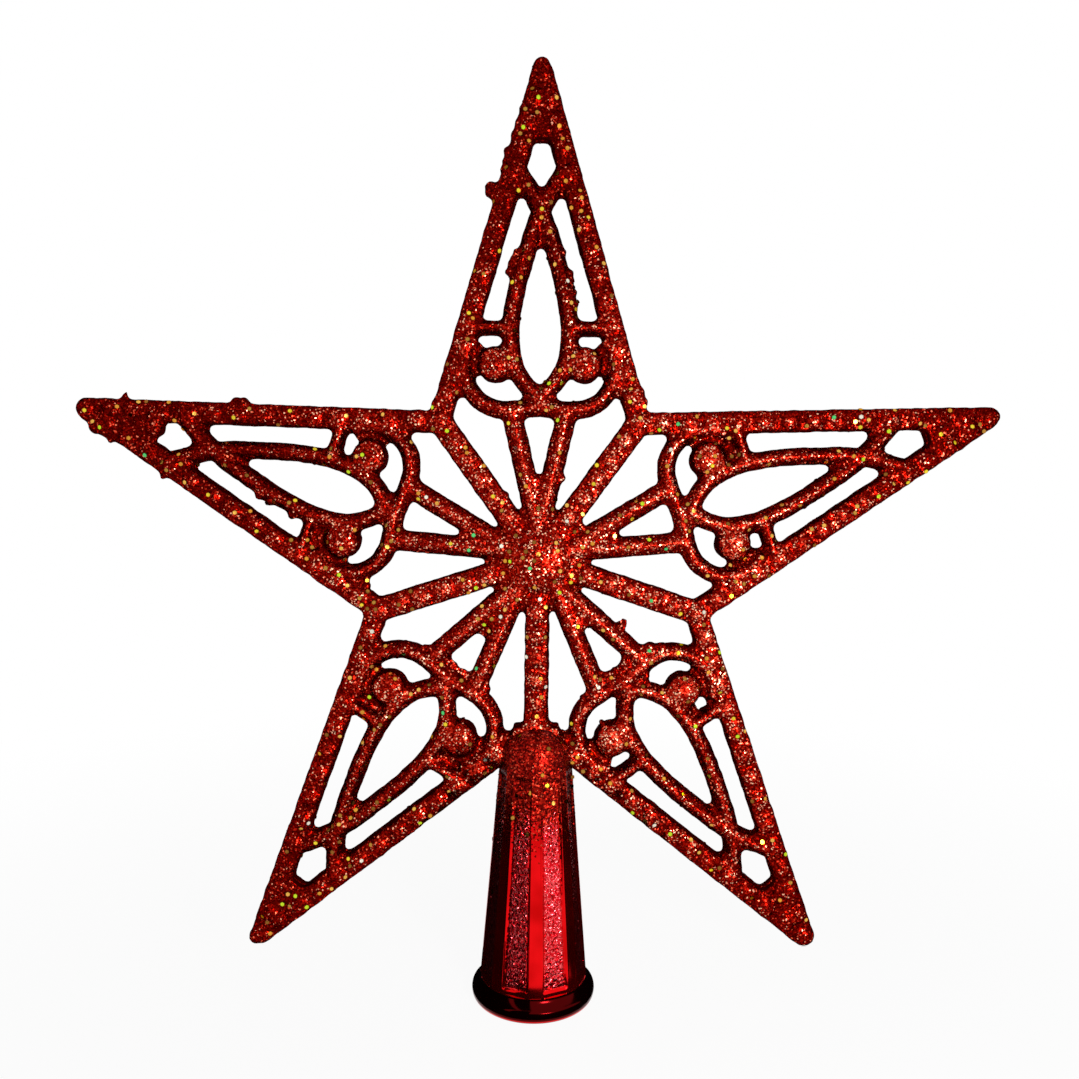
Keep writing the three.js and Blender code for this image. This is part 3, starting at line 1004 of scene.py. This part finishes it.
@dataclass
class Flakes:
    """Loose flakes that lie on a surface, each tilted its own way, with a rim if they are large."""

    name: str
    size: float
    thickness: float
    density: float
    tilt: float
    seed: int
    least_tilt: float = 0.15
    # How much the surface's painted shine scales each flake's tone: painted light
    relief: float = 0.45
    sides: int = 4
    rim: float = 0.0
    lift: float = 0.0
    spacing: float = 0.0
    size_spread: float = 0.25

    def one_flake(self) -> bpy.types.Object:
        """A single flake, flat in the XY plane."""
        bpy.ops.object.select_all(action="DESELECT")
        place = (0, 0, self.lift)
        size = {"radius": self.size / 2, "depth": self.thickness, "location": place}
        bpy.ops.mesh.primitive_cylinder_add(vertices=self.sides, **size)
        flake = bpy.context.active_object
        flake.name = "flake"
        apply_place(flake)
        if self.rim:
            bpy.ops.object.mode_set(mode="EDIT")
            bpy.ops.mesh.select_mode(type="FACE")
            bpy.ops.mesh.select_all(action="SELECT")
            bpy.ops.mesh.select_face_by_sides(number=self.sides, type="EQUAL", extend=False)
            bpy.ops.mesh.inset(thickness=self.rim)
            bpy.ops.object.mode_set(mode="OBJECT")
            places = read_places(flake)
            outer = np.hypot(places[:, 0], places[:, 1]) > self.size / 2 - self.rim / 2
            write_attribute(flake, "edge", outer.astype(float))
        return flake

    def strewing(self, flake: bpy.types.Object) -> bpy.types.GeometryNodeTree:
        """The node tree that turns a surface into the flakes lying on it.

        Args:
            flake: The flake that is copied.

        Returns:
            The geometry node tree.
        """
        made = bpy.data.node_groups.new("strewing", "GeometryNodeTree")
        made.interface.new_socket("Geometry", in_out="INPUT", socket_type="NodeSocketGeometry")
        made.interface.new_socket("Geometry", in_out="OUTPUT", socket_type="NodeSocketGeometry")
        tree = Tree(made)
        surface = tree.add("NodeGroupInput")
        result = tree.add("NodeGroupOutput")
        cover = tree.add("GeometryNodeInputNamedAttribute", data_type="FLOAT")
        cover.inputs["Name"].default_value = "cover"
        spread = tree.add("GeometryNodeDistributePointsOnFaces")
        spread.inputs["Seed"].default_value = self.seed
        if self.spacing:
            spread.distribute_method = "POISSON"
            spread.inputs["Distance Min"].default_value = self.spacing
            spread.inputs["Density Max"].default_value = self.density
            tree.link(cover.outputs["Attribute"], spread.inputs["Density Factor"])
        else:
            density = tree.maths("MULTIPLY", cover.outputs["Attribute"], self.density)
            tree.link(density, spread.inputs["Density"])
        turn = tree.random("FLOAT_VECTOR", self.seed + 1)
        turn.inputs["Min"].default_value = (-self.tilt, -self.tilt, 0)
        turn.inputs["Max"].default_value = (self.tilt, self.tilt, 0)
        amount = tree.random("FLOAT", self.seed + 4)
        amount.inputs[2].default_value = self.least_tilt
        lean = tree.add("ShaderNodeVectorMath", operation="SCALE")
        tree.link(turn.outputs["Value"], lean.inputs[0])
        tree.link(amount.outputs[1], lean.inputs["Scale"])
        turned = tree.add("FunctionNodeRotateRotation", rotation_space="LOCAL")
        size = tree.random("FLOAT", self.seed + 2)
        size.inputs[2].default_value = 1 - self.size_spread
        size.inputs[3].default_value = 1.0
        tone = tree.random("FLOAT", self.seed + 3)
        # Painted light: each flake's random tone is scaled by the painted shine under it
        shine = tree.add("GeometryNodeInputNamedAttribute", data_type="FLOAT")
        shine.inputs["Name"].default_value = "shine"
        shade = tree.maths("MULTIPLY_ADD", shine.outputs["Attribute"], self.relief, 1 - self.relief)
        source = tree.add("GeometryNodeObjectInfo")
        source.inputs["Object"].default_value = flake
        copies = tree.add("GeometryNodeInstanceOnPoints")
        named = tree.add("GeometryNodeStoreNamedAttribute", data_type="FLOAT", domain="INSTANCE")
        named.inputs["Name"].default_value = "tone"
        real = tree.add("GeometryNodeRealizeInstances")
        tree.link(surface.outputs[0], spread.inputs["Mesh"])
        tree.link(spread.outputs["Rotation"], turned.inputs["Rotation"])
        tree.link(lean.outputs[0], turned.inputs["Rotate By"])
        tree.link(spread.outputs["Points"], copies.inputs["Points"])
        tree.link(source.outputs["Geometry"], copies.inputs["Instance"])
        tree.link(turned.outputs["Rotation"], copies.inputs["Rotation"])
        tree.link(size.outputs[1], copies.inputs["Scale"])
        tree.link(copies.outputs["Instances"], named.inputs["Geometry"])
        tree.link(tree.maths("MULTIPLY", tone.outputs[1], shade), named.inputs["Value"])
        tree.link(named.outputs["Geometry"], real.inputs["Geometry"])
        tree.link(real.outputs["Geometry"], result.inputs[0])
        return made

    def build(self, surface: bpy.types.Object, cover: np.ndarray) -> bpy.types.Object:
        """Strews the flakes.

        Args:
            surface: The finished piece that they lie on.
            cover: How thickly they lie at each corner of its mesh, from 0 to 1.

        Returns:
            All the flakes as one object.
        """
        piece = copy_of(surface, self.name)
        write_attribute(piece, "cover", cover)
        flake = self.one_flake()
        apply_modifier(piece, "NODES", node_group=self.strewing(flake))
        bpy.data.objects.remove(flake)
        for name in ("cover", "panel", "shine"):
            if name in piece.data.attributes:
                piece.data.attributes.remove(piece.data.attributes[name])
        select_only(piece)
        bpy.ops.object.shade_flat()
        return piece


# Finishes

GRAIN_STEEPNESS = 3.0
GRAIN_LEAST_TILT = 0.15


def grain_group() -> bpy.types.NodeTree:
    """The node group for fine glitter: cells with a random shade and a random tilt."""
    name = "glitter_grain"
    if name in bpy.data.node_groups:
        return bpy.data.node_groups[name]
    made = bpy.data.node_groups.new(name, "ShaderNodeTree")
    for label, kind in (("Vector", "Vector"), ("Scale", "Float"), ("Tilt", "Float")):
        made.interface.new_socket(label, in_out="INPUT", socket_type=f"NodeSocket{kind}")
    for label, kind in (("Shade", "Float"), ("Other", "Float"), ("Normal", "Vector")):
        made.interface.new_socket(label, in_out="OUTPUT", socket_type=f"NodeSocket{kind}")
    tree = Tree(made)
    given = tree.add("NodeGroupInput")
    result = tree.add("NodeGroupOutput")
    cells = tree.add("ShaderNodeTexVoronoi")
    tree.link(given.outputs["Vector"], cells.inputs["Vector"])
    tree.link(given.outputs["Scale"], cells.inputs["Scale"])
    parts = tree.add("ShaderNodeSeparateColor")
    tree.link(cells.outputs["Color"], parts.inputs["Color"])
    toss = tree.add("ShaderNodeTexWhiteNoise", noise_dimensions="3D")
    tree.link(cells.outputs["Color"], toss.inputs["Vector"])
    lean = tree.vector_maths("SUBTRACT", toss.outputs["Color"], (0.5, 0.5, 0.5))
    few_steep = tree.maths("POWER", parts.outputs["Blue"], GRAIN_STEEPNESS)
    amount = tree.maths("MULTIPLY_ADD", few_steep, 1 - GRAIN_LEAST_TILT, GRAIN_LEAST_TILT)
    scaled = tree.add("ShaderNodeVectorMath", operation="SCALE")
    tree.link(lean, scaled.inputs[0])
    tree.link(tree.maths("MULTIPLY", amount, given.outputs["Tilt"]), scaled.inputs["Scale"])
    surface = tree.add("ShaderNodeNewGeometry")
    leaned = tree.vector_maths("ADD", surface.outputs["Normal"], scaled.outputs[0])
    tree.link(parts.outputs["Red"], result.inputs["Shade"])
    tree.link(parts.outputs["Green"], result.inputs["Other"])
    tree.link(tree.vector_maths("NORMALIZE", leaned), result.inputs["Normal"])
    return made


def new_material(name: str) -> tuple[bpy.types.Material, Tree, bpy.types.Node]:
    """An empty material.

    Args:
        name: The material's name.

    Returns:
        The material, its tree and its surface shader.
    """
    material = bpy.data.materials.new(name)
    material.use_nodes = True
    tree = Tree(material.node_tree)
    return material, tree, tree.nodes["Principled BSDF"]


def dress(piece: bpy.types.Object, material: bpy.types.Material) -> None:
    """Gives a piece one material all over."""
    piece.data.materials.clear()
    piece.data.materials.append(material)


@dataclass(frozen=True)
class GlitterCoat:
    """Clear glue full of fine red glitter, with painted light in its colour: painted highlights on
    crests and faces, painted glints, and dark walls that are partly bare plastic and partly painted
    shade.
    """

    name: str
    grain: float = 0.3 * MM
    tilt: float = 1.0
    patch: float = 6.0 * MM
    patch_lift: float = 0.2
    spread: float = 0.6
    # How far the painted shine lifts the colour: painted light
    relief: float = 0.52
    dimming: float = 0.26
    # A random share of cells lifted into the brightest stops: painted glints
    glint_share: float = 0.16
    glint_lift: float = 0.42
    full_cover: float = 0.16
    metallic: float = 0.92
    roughness: float = 0.22
    smoother: float = 0.08
    rougher: float = 0.12
    wall_roughness: float = 0.6
    edge_tint: Colour = (0.2, 0.004, 0.002)
    # The top stops are the colours of painted glints
    shades: Stops = (
        (0.0, (0.035, 0.0001, 0.0)),
        (0.25, (0.08, 0.0005, 0.0001)),
        (0.45, (0.16, 0.0018, 0.0004)),
        (0.6, (0.3, 0.004, 0.0015)),
        (0.75, (0.55, 0.018, 0.007)),
        (0.88, (0.92, 0.13, 0.06)),
        (1.0, (1.0, 0.54, 0.34)),
    )
    # The walls' dark colour: partly bare plastic, partly painted shade
    wall: Colour = (0.05, 0.0004, 0.0003)

    def material(self) -> bpy.types.Material:
        """Builds the material."""
        material, tree, shader = new_material(self.name)
        place = tree.add("ShaderNodeTexCoord").outputs["Object"]
        grain = tree.add("ShaderNodeGroup", node_tree=grain_group())
        tree.link(place, grain.inputs["Vector"])
        grain.inputs["Scale"].default_value = 1 / self.grain
        grain.inputs["Tilt"].default_value = self.tilt
        shine = tree.add("ShaderNodeAttribute", attribute_name="shine").outputs["Fac"]
        patches = tree.add("ShaderNodeTexNoise")
        tree.link(place, patches.inputs["Vector"])
        patches.inputs["Scale"].default_value = 1 / self.patch
        base = -self.patch_lift / 2 - self.dimming
        lift = tree.maths("MULTIPLY_ADD", patches.outputs["Fac"], self.patch_lift, base)
        # Painted light: the shine lifts the colour on crests and faces and lowers it in grooves
        lift = tree.maths("MULTIPLY_ADD", shine, self.relief, lift)
        # Painted glints in a random share of the cells
        glint = tree.maths("GREATER_THAN", grain.outputs["Other"], 1 - self.glint_share)
        lift = tree.maths("MULTIPLY_ADD", glint, self.glint_lift, lift)
        factor = tree.maths("MULTIPLY_ADD", grain.outputs["Shade"], self.spread, lift)
        colour = tree.ramp(factor, self.shades)
        # Where the shine is low, on walls, the dark wall colour: partly bare plastic, partly painted
        # shade
        covered_and_lit = tree.rescale(shine, 0.0, self.full_cover, 0.0, 1.0)
        tree.link(tree.mix(covered_and_lit, (*self.wall, 1), colour), shader.inputs["Base Color"])
        low, high = self.roughness - self.smoother, self.roughness + self.rougher
        rough = tree.rescale(grain.outputs["Other"], 0, 1, low, high)
        gap = tree.maths("SUBTRACT", 1.0, covered_and_lit)
        rough = tree.maths("MULTIPLY_ADD", gap, self.wall_roughness - self.roughness, rough)
        tree.link(rough, shader.inputs["Roughness"])
        tree.link(tree.maths("MULTIPLY", covered_and_lit, self.metallic), shader.inputs["Metallic"])
        tree.link(grain.outputs["Normal"], shader.inputs["Normal"])
        shader.inputs["Specular IOR Level"].default_value = 0.0
        shader.inputs["Specular Tint"].default_value = (*self.edge_tint, 1)
        return material


@dataclass(frozen=True)
class FlakeFoil:
    """Shiny coloured foil, one tone to each flake; the tone carries the painted shine of the surface the
    flake lies on.
    """

    name: str
    tones: Stops
    stepped: bool
    roughness: float = 0.3
    smoother: float = 0.05
    rougher: float = 0.12
    film: float = 0.8 * MM
    film_shade: float = 0.75
    edge_shade: float = 0.3
    edge_tint: Colour = (0.2, 0.01, 0.005)

    def material(self) -> bpy.types.Material:
        """Builds the material."""
        material, tree, shader = new_material(self.name)
        tone = tree.add("ShaderNodeAttribute", attribute_name="tone")
        colour = tree.ramp(tone.outputs["Fac"], self.tones, self.stepped)
        place = tree.add("ShaderNodeTexCoord").outputs["Object"]
        film = tree.add("ShaderNodeTexNoise")
        tree.link(place, film.inputs["Vector"])
        film.inputs["Scale"].default_value = 1 / self.film
        shade = tree.rescale(film.outputs["Fac"], NOISE_LOW, NOISE_HIGH, self.film_shade, 1.0)
        edge = tree.add("ShaderNodeAttribute", attribute_name="edge").outputs["Fac"]
        rim = tree.rescale(edge, 0.2, 1.0, 1.0, self.edge_shade)
        shade = tree.maths("MULTIPLY", shade, rim)
        tree.link(tree.mix(1.0, colour, shade, "MULTIPLY"), shader.inputs["Base Color"])
        low, high = self.roughness - self.smoother, self.roughness + self.rougher
        rough = tree.rescale(film.outputs["Fac"], NOISE_LOW, NOISE_HIGH, low, high)
        tree.link(rough, shader.inputs["Roughness"])
        shader.inputs["Metallic"].default_value = 1.0
        shader.inputs["Specular Tint"].default_value = (*self.edge_tint, 1)
        return material


@dataclass(frozen=True)
class PlatedPlastic:
    """Bright red metallised plastic, pebbled on the panels, with glitter fading down from its head. The
    pebbles carry painted shade in their pits and painted highlight lines, and the lip carries painted
    shade with a thin painted highlight line.
    """

    name: str
    colour: Colour = (0.85, 0.004, 0.006)
    deep: Colour = (0.6, 0.0015, 0.002)
    # The lip's painted shade: the foot colour darkens it up to foot_high, except a thin painted
    # highlight line at foot_line
    foot: Colour = (0.07, 0.0003, 0.0007)
    foot_line: float = 0.5 * MM
    foot_high: float = 4.5 * MM
    foot_ease: float = 0.1 * MM
    wander: float = 9 * MM
    pebble: float = 0.75 * MM
    pebble_height: float = 0.3 * MM
    # Pebble colours: painted shade in the pits and thin painted highlight lines where the grain rises
    pebbles_and_shading: Stops = (
        (0.0, (0.35, 0.001, 0.002)),
        (0.42, (0.5, 0.002, 0.005)),
        (0.49, (1.0, 0.16, 0.17)),
        (0.52, (0.9, 0.035, 0.05)),
        (0.6, (0.7, 0.006, 0.012)),
        (1.0, (0.55, 0.003, 0.007)),
    )
    metallic: float = 0.97
    roughness: float = 0.12
    glitter_low: float = 33.0 * MM
    glitter_high: float = 47.0 * MM
    glitter_waver: float = 14.0 * MM
    glitter_spread: float = 0.75
    glitter_base: float = 0.05
    glitter_roughness: float = 0.2
    smoother: float = 0.03
    rougher: float = 0.05
    grain: float = 0.32 * MM
    glitter: GlitterCoat = GlitterCoat("coat")

    def material(self) -> bpy.types.Material:
        """Builds the material."""
        material, tree, shader = new_material(self.name)
        place = tree.add("ShaderNodeTexCoord").outputs["Object"]
        panel = tree.add("ShaderNodeAttribute", attribute_name="panel").outputs["Fac"]
        pebbles_and_shading = tree.add("ShaderNodeTexNoise")
        tree.link(place, pebbles_and_shading.inputs["Vector"])
        pebbles_and_shading.inputs["Scale"].default_value = 1 / self.pebble
        pebbles_and_shading.inputs["Detail"].default_value = 1.0
        pebbles_and_shading.inputs["Distortion"].default_value = 0.6
        wander = tree.add("ShaderNodeTexNoise")
        tree.link(place, wander.inputs["Vector"])
        wander.inputs["Scale"].default_value = 1 / self.wander
        share = tree.rescale(wander.outputs["Fac"], 0.35, 0.65, 0, 1)
        plain = tree.mix(share, (*self.deep, 1), (*self.colour, 1))
        height = tree.add("ShaderNodeSeparateXYZ")
        tree.link(place, height.inputs[0])
        # Painted shade on the lip, with a thin painted highlight line left in the plain colour
        off_line = tree.maths("SUBTRACT", height.outputs["Z"], self.foot_line)
        off_line = tree.maths("ABSOLUTE", off_line)
        low = tree.rescale(off_line, self.foot_ease, 3 * self.foot_ease, 0, 1)
        ends = (self.foot_high - self.foot_ease, self.foot_high + self.foot_ease)
        high = tree.rescale(height.outputs["Z"], *ends, 1, 0)
        plain = tree.mix(tree.maths("MULTIPLY", low, high), plain, (*self.foot, 1))
        # Painted shade and painted highlight lines on the pebbled panels
        painted_pebbles = tree.ramp(pebbles_and_shading.outputs["Fac"], self.pebbles_and_shading)
        plated = tree.mix(panel, plain, painted_pebbles)
        fine = tree.add("ShaderNodeGroup", node_tree=grain_group())
        tree.link(place, fine.inputs["Vector"])
        fine.inputs["Scale"].default_value = 1 / self.grain
        fine.inputs["Tilt"].default_value = self.glitter.tilt
        waver = self.glitter_waver
        edge = tree.maths("MULTIPLY_ADD", wander.outputs["Fac"], waver, height.outputs["Z"])
        ends = (self.glitter_low + waver / 2, self.glitter_high + waver / 2)
        amount = tree.rescale(edge, *ends, 0, 1)
        chosen = tree.maths("LESS_THAN", fine.outputs["Other"], amount)
        shade = fine.outputs["Shade"]
        shade = tree.maths("MULTIPLY_ADD", shade, self.glitter_spread, self.glitter_base)
        # The ramp's top stops are painted glints
        glitter = tree.ramp(shade, self.glitter.shades)
        tree.link(tree.mix(chosen, plated, glitter), shader.inputs["Base Color"])
        relief = tree.add("ShaderNodeBump")
        relief.inputs["Distance"].default_value = self.pebble_height
        tree.link(tree.maths("MULTIPLY", pebbles_and_shading.outputs["Fac"], panel), relief.inputs["Height"])
        normal = tree.add("ShaderNodeMix", data_type="VECTOR")
        tree.link(chosen, normal.inputs["Factor"])
        tree.link(relief.outputs["Normal"], normal.inputs[4])
        tree.link(fine.outputs["Normal"], normal.inputs[5])
        tree.link(normal.outputs[1], shader.inputs["Normal"])
        ends = (self.roughness - self.smoother, self.roughness + self.rougher)
        rough = tree.rescale(wander.outputs["Fac"], NOISE_LOW, NOISE_HIGH, *ends)
        rough = tree.maths("MULTIPLY_ADD", chosen, self.glitter_roughness, rough)
        tree.link(rough, shader.inputs["Roughness"])
        shader.inputs["Metallic"].default_value = self.metallic
        return material


GOLD_TONES: Stops = (
    (0.0, (0.3, 0.12, 0.02)),
    (0.2, (0.5, 0.24, 0.04)),
    (0.36, (0.8, 0.34, 0.04)),
    (0.54, (0.95, 0.5, 0.09)),
    (0.72, (0.95, 0.7, 0.04)),
    (0.82, (0.65, 0.85, 0.03)),
    (0.88, (0.12, 0.7, 0.2)),
    (0.905, (1.0, 0.92, 0.75)),
)
# The brightest tones are painted glints
RED_TONES: Stops = (
    (0.0, (0.03, 0.0001, 0.0)),
    (0.35, (0.08, 0.0006, 0.0001)),
    (0.6, (0.2, 0.004, 0.0015)),
    (0.78, (0.5, 0.015, 0.006)),
    (0.9, (0.9, 0.15, 0.075)),
    (1.0, (1.0, 0.7, 0.45)),
)


# The studio


@dataclass
class Studio:
    """A pale floor, soft light from the front, and the camera of the reference view."""

    hub_height: float
    distance: float = 0.2
    shift: Point = (-0.296 * MM, -4.298 * MM)
    tilt: tuple[float, float, float] = (2.879, 0.518, -0.666)
    focal_length: float = 30.63
    sensor: float = 36.0
    key_place: tuple[float, float, float] = (0.085, -0.195, -0.01)
    key_size: float = 0.045
    key_power: float = 0.36
    fill_strength: float = 0.2
    floor_size: float = 6.0
    floor_shade: float = 0.94
    shade_near: float = 0.03
    shade_far: float = 0.3
    flag_steps: int = 24
    flag_foot: Point = (16 * MM, 0.3 * MM)
    flag_head: Point = (21 * MM, 44 * MM)
    flag_spans: tuple[tuple[float, float], ...] = ((-118, -33), (-26, -4), (60, 118))
    low_flag: tuple[Point, Point] = ((14.6 * MM, 0.2 * MM), (18 * MM, 4.5 * MM))

    def camera(self) -> None:
        """Places the camera."""
        data = bpy.data.cameras.new("camera")
        data.lens = self.focal_length
        data.sensor_width = self.sensor
        data.clip_start = 0.01
        camera = bpy.data.objects.new("camera", data)
        turn = Euler([math.radians(angle) for angle in self.tilt], "XYZ").to_matrix().transposed()
        to_frame = Matrix.Rotation(math.pi / 2, 3, "X")
        place = to_frame @ turn @ (Vector((0, 0, self.distance)) - Vector((*self.shift, 0)))
        camera.matrix_world = Matrix.Translation(place + Vector((0, 0, self.hub_height))) @ (
            to_frame @ turn
        ).to_4x4()
        bpy.context.scene.collection.objects.link(camera)
        bpy.context.scene.camera = camera

    def lamp(self, name: str, place: Vector, target: Vector, size: float, power: float) -> None:
        """Adds a soft square lamp.

        Args:
            name: The lamp's name.
            place: Where it stands.
            target: The point that it faces.
            size: The length of its sides.
            power: Its power in watts.
        """
        data = bpy.data.lights.new(name, "AREA")
        data.size = size
        data.energy = power
        lamp = bpy.data.objects.new(name, data)
        lamp.location = place
        lamp.rotation_euler = (target - place).to_track_quat("-Z", "Y").to_euler()
        bpy.context.scene.collection.objects.link(lamp)

    def world(self) -> None:
        """A white background for the camera, gloss and glass, and a dim even light for the rest."""
        world = bpy.data.worlds.new("studio")
        world.use_nodes = True
        bpy.context.scene.world = world
        tree = Tree(world.node_tree)
        light = tree.nodes["Background"]
        path = tree.add("ShaderNodeLightPath")
        seen = tree.maths("MAXIMUM", path.outputs["Is Camera Ray"], path.outputs["Is Glossy Ray"])
        seen = tree.maths("MAXIMUM", seen, path.outputs["Is Transmission Ray"])
        strength = tree.maths("MULTIPLY_ADD", seen, 1 - self.fill_strength, self.fill_strength)
        light.inputs["Color"].default_value = (1, 1, 1, 1)
        tree.link(strength, light.inputs["Strength"])

    def floor(self) -> None:
        """A plain pale floor under the socket's foot."""
        bpy.ops.object.select_all(action="DESELECT")
        bpy.ops.mesh.primitive_plane_add(size=self.floor_size, location=(0, 0, 0))
        floor = bpy.context.active_object
        floor.name = "floor"
        material, tree, shader = new_material("floor")
        shader.inputs["Base Color"].default_value = (0.86, 0.86, 0.86, 1)
        shader.inputs["Roughness"].default_value = 0.9
        path = tree.add("ShaderNodeLightPath")
        seen = tree.maths("MAXIMUM", path.outputs["Is Camera Ray"], path.outputs["Is Glossy Ray"])
        place = tree.add("ShaderNodeTexCoord").outputs["Object"]
        away = tree.add("ShaderNodeVectorMath", operation="LENGTH")
        tree.link(place, away.inputs[0])
        ends = (self.shade_near, self.shade_far)
        share = tree.rescale(away.outputs["Value"], *ends, self.floor_shade, 1.0)
        glow = tree.add("ShaderNodeEmission")
        glow.inputs["Color"].default_value = (1, 1, 1, 1)
        mixed = tree.add("ShaderNodeMixShader")
        tree.link(tree.maths("MULTIPLY", seen, share), mixed.inputs[0])
        tree.link(shader.outputs[0], mixed.inputs[1])
        tree.link(glow.outputs[0], mixed.inputs[2])
        tree.link(mixed.outputs[0], tree.nodes["Material Output"].inputs["Surface"])
        dress(floor, material)

    def flags(self) -> None:
        """Dark cards round the socket, which only its polished surface sees."""
        material, tree, shader = new_material("flag")
        shader.inputs["Base Color"].default_value = (0.01, 0.01, 0.01, 1)
        shader.inputs["Specular IOR Level"].default_value = 0.0
        cards = [([self.flag_foot, self.flag_head], span) for span in self.flag_spans]
        cards.append((list(self.low_flag), (0, 360)))
        for line, (start, end) in cards:
            angle = math.radians(start - 90)
            flag = spun_sheet(line, self.flag_steps, angle, math.radians(end - start))
            flag.name = "flag"
            flag.visible_camera = flag.visible_diffuse = flag.visible_shadow = False
            flag.visible_transmission = False
            dress(flag, material)

    def build(self) -> None:
        """Sets up the whole studio."""
        bpy.context.scene.view_settings.view_transform = "Standard"
        self.camera()
        self.world()
        self.floor()
        self.flags()
        middle = Vector((0, 0, self.hub_height))
        self.lamp("key", middle + Vector(self.key_place), middle, self.key_size, self.key_power)


# The whole topper


def strewn_hexes(
    name: str, density: float, seed: int, surface: bpy.types.Object, cover: np.ndarray
) -> bpy.types.Object:
    """Strews the large hexagonal flakes over a piece.

    Args:
        name: The name of all the flakes.
        density: How many flakes lie on a square metre at the thickest.
        seed: The seed of their places.
        surface: The finished piece that they lie on.
        cover: How thickly they lie at each corner of its mesh, from 0 to 1.

    Returns:
        All the flakes as one object.
    """
    size, thickness, tilt = 1.06 * MM, 0.05 * MM, 0.2
    flakes = Flakes(name, size, thickness, density, tilt, seed, relief=0.12, sides=6)
    flakes.rim, flakes.lift = 0.14 * MM, 0.1 * MM
    flakes.spacing, flakes.size_spread = 1.3 * MM, 0.1
    return flakes.build(surface, cover)


def main() -> None:
    """Builds every piece in order and sets up the studio."""
    logging.basicConfig(level=logging.INFO, format="%(message)s")
    star_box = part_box("star_front")
    hub_height = star_box[1].z - StarMoulding.tip_radius
    red_foil = FlakeFoil("red_foil", RED_TONES, False).material()
    gold_foil = FlakeFoil("gold_foil", GOLD_TONES, True, 0.14).material()
    halves = (
        (Face.FRONT, "star_front", "glitter_coat_front", FRONT_LUMPS, 11),
        (Face.BACK, "star_back", "glitter_coat_back", (), 47),
    )
    for face, node, slot, lumps, seed in halves:
        half = StarMoulding(face, lumps).build(hub_height)
        dress(half, GlitterCoat(f"{slot}_finish").material())
        level = PaintedShine(hub_height).write(half)
        fine = Flakes(f"{node}_glitter", 0.44 * MM, 0.03 * MM, 1.5e6, 0.6, seed)
        glitter = fine.build(half, level)
        dress(glitter, red_foil)
        hexes = strewn_hexes(f"{node}_hex_flakes", 0.06e6, seed + 5, half, level**3)
        dress(hexes, gold_foil)
        hand_over(half, node)
        hand_over(glitter)
        hand_over(hexes)
    socket = Socket().build()
    height = read_places(socket)[:, 2]
    cover = smooth_step(height, 32 * MM, 50 * MM)
    write_attribute(socket, "shine", np.full(len(cover), 0.8))
    dress(socket, PlatedPlastic("plated_socket_finish").material())
    glitter = Flakes("socket_glitter", 0.44 * MM, 0.03 * MM, 1.6e6, 0.5, 83).build(socket, cover)
    dress(glitter, red_foil)
    sparse = smooth_step(height, 20 * MM, 48 * MM)
    hexes = strewn_hexes("socket_hex_flakes", 0.04e6, 91, socket, sparse)
    dress(hexes, gold_foil)
    hand_over(socket, "socket")
    hand_over(glitter)
    hand_over(hexes)
    Studio(hub_height).build()


if __name__ == "__main__":
    main()
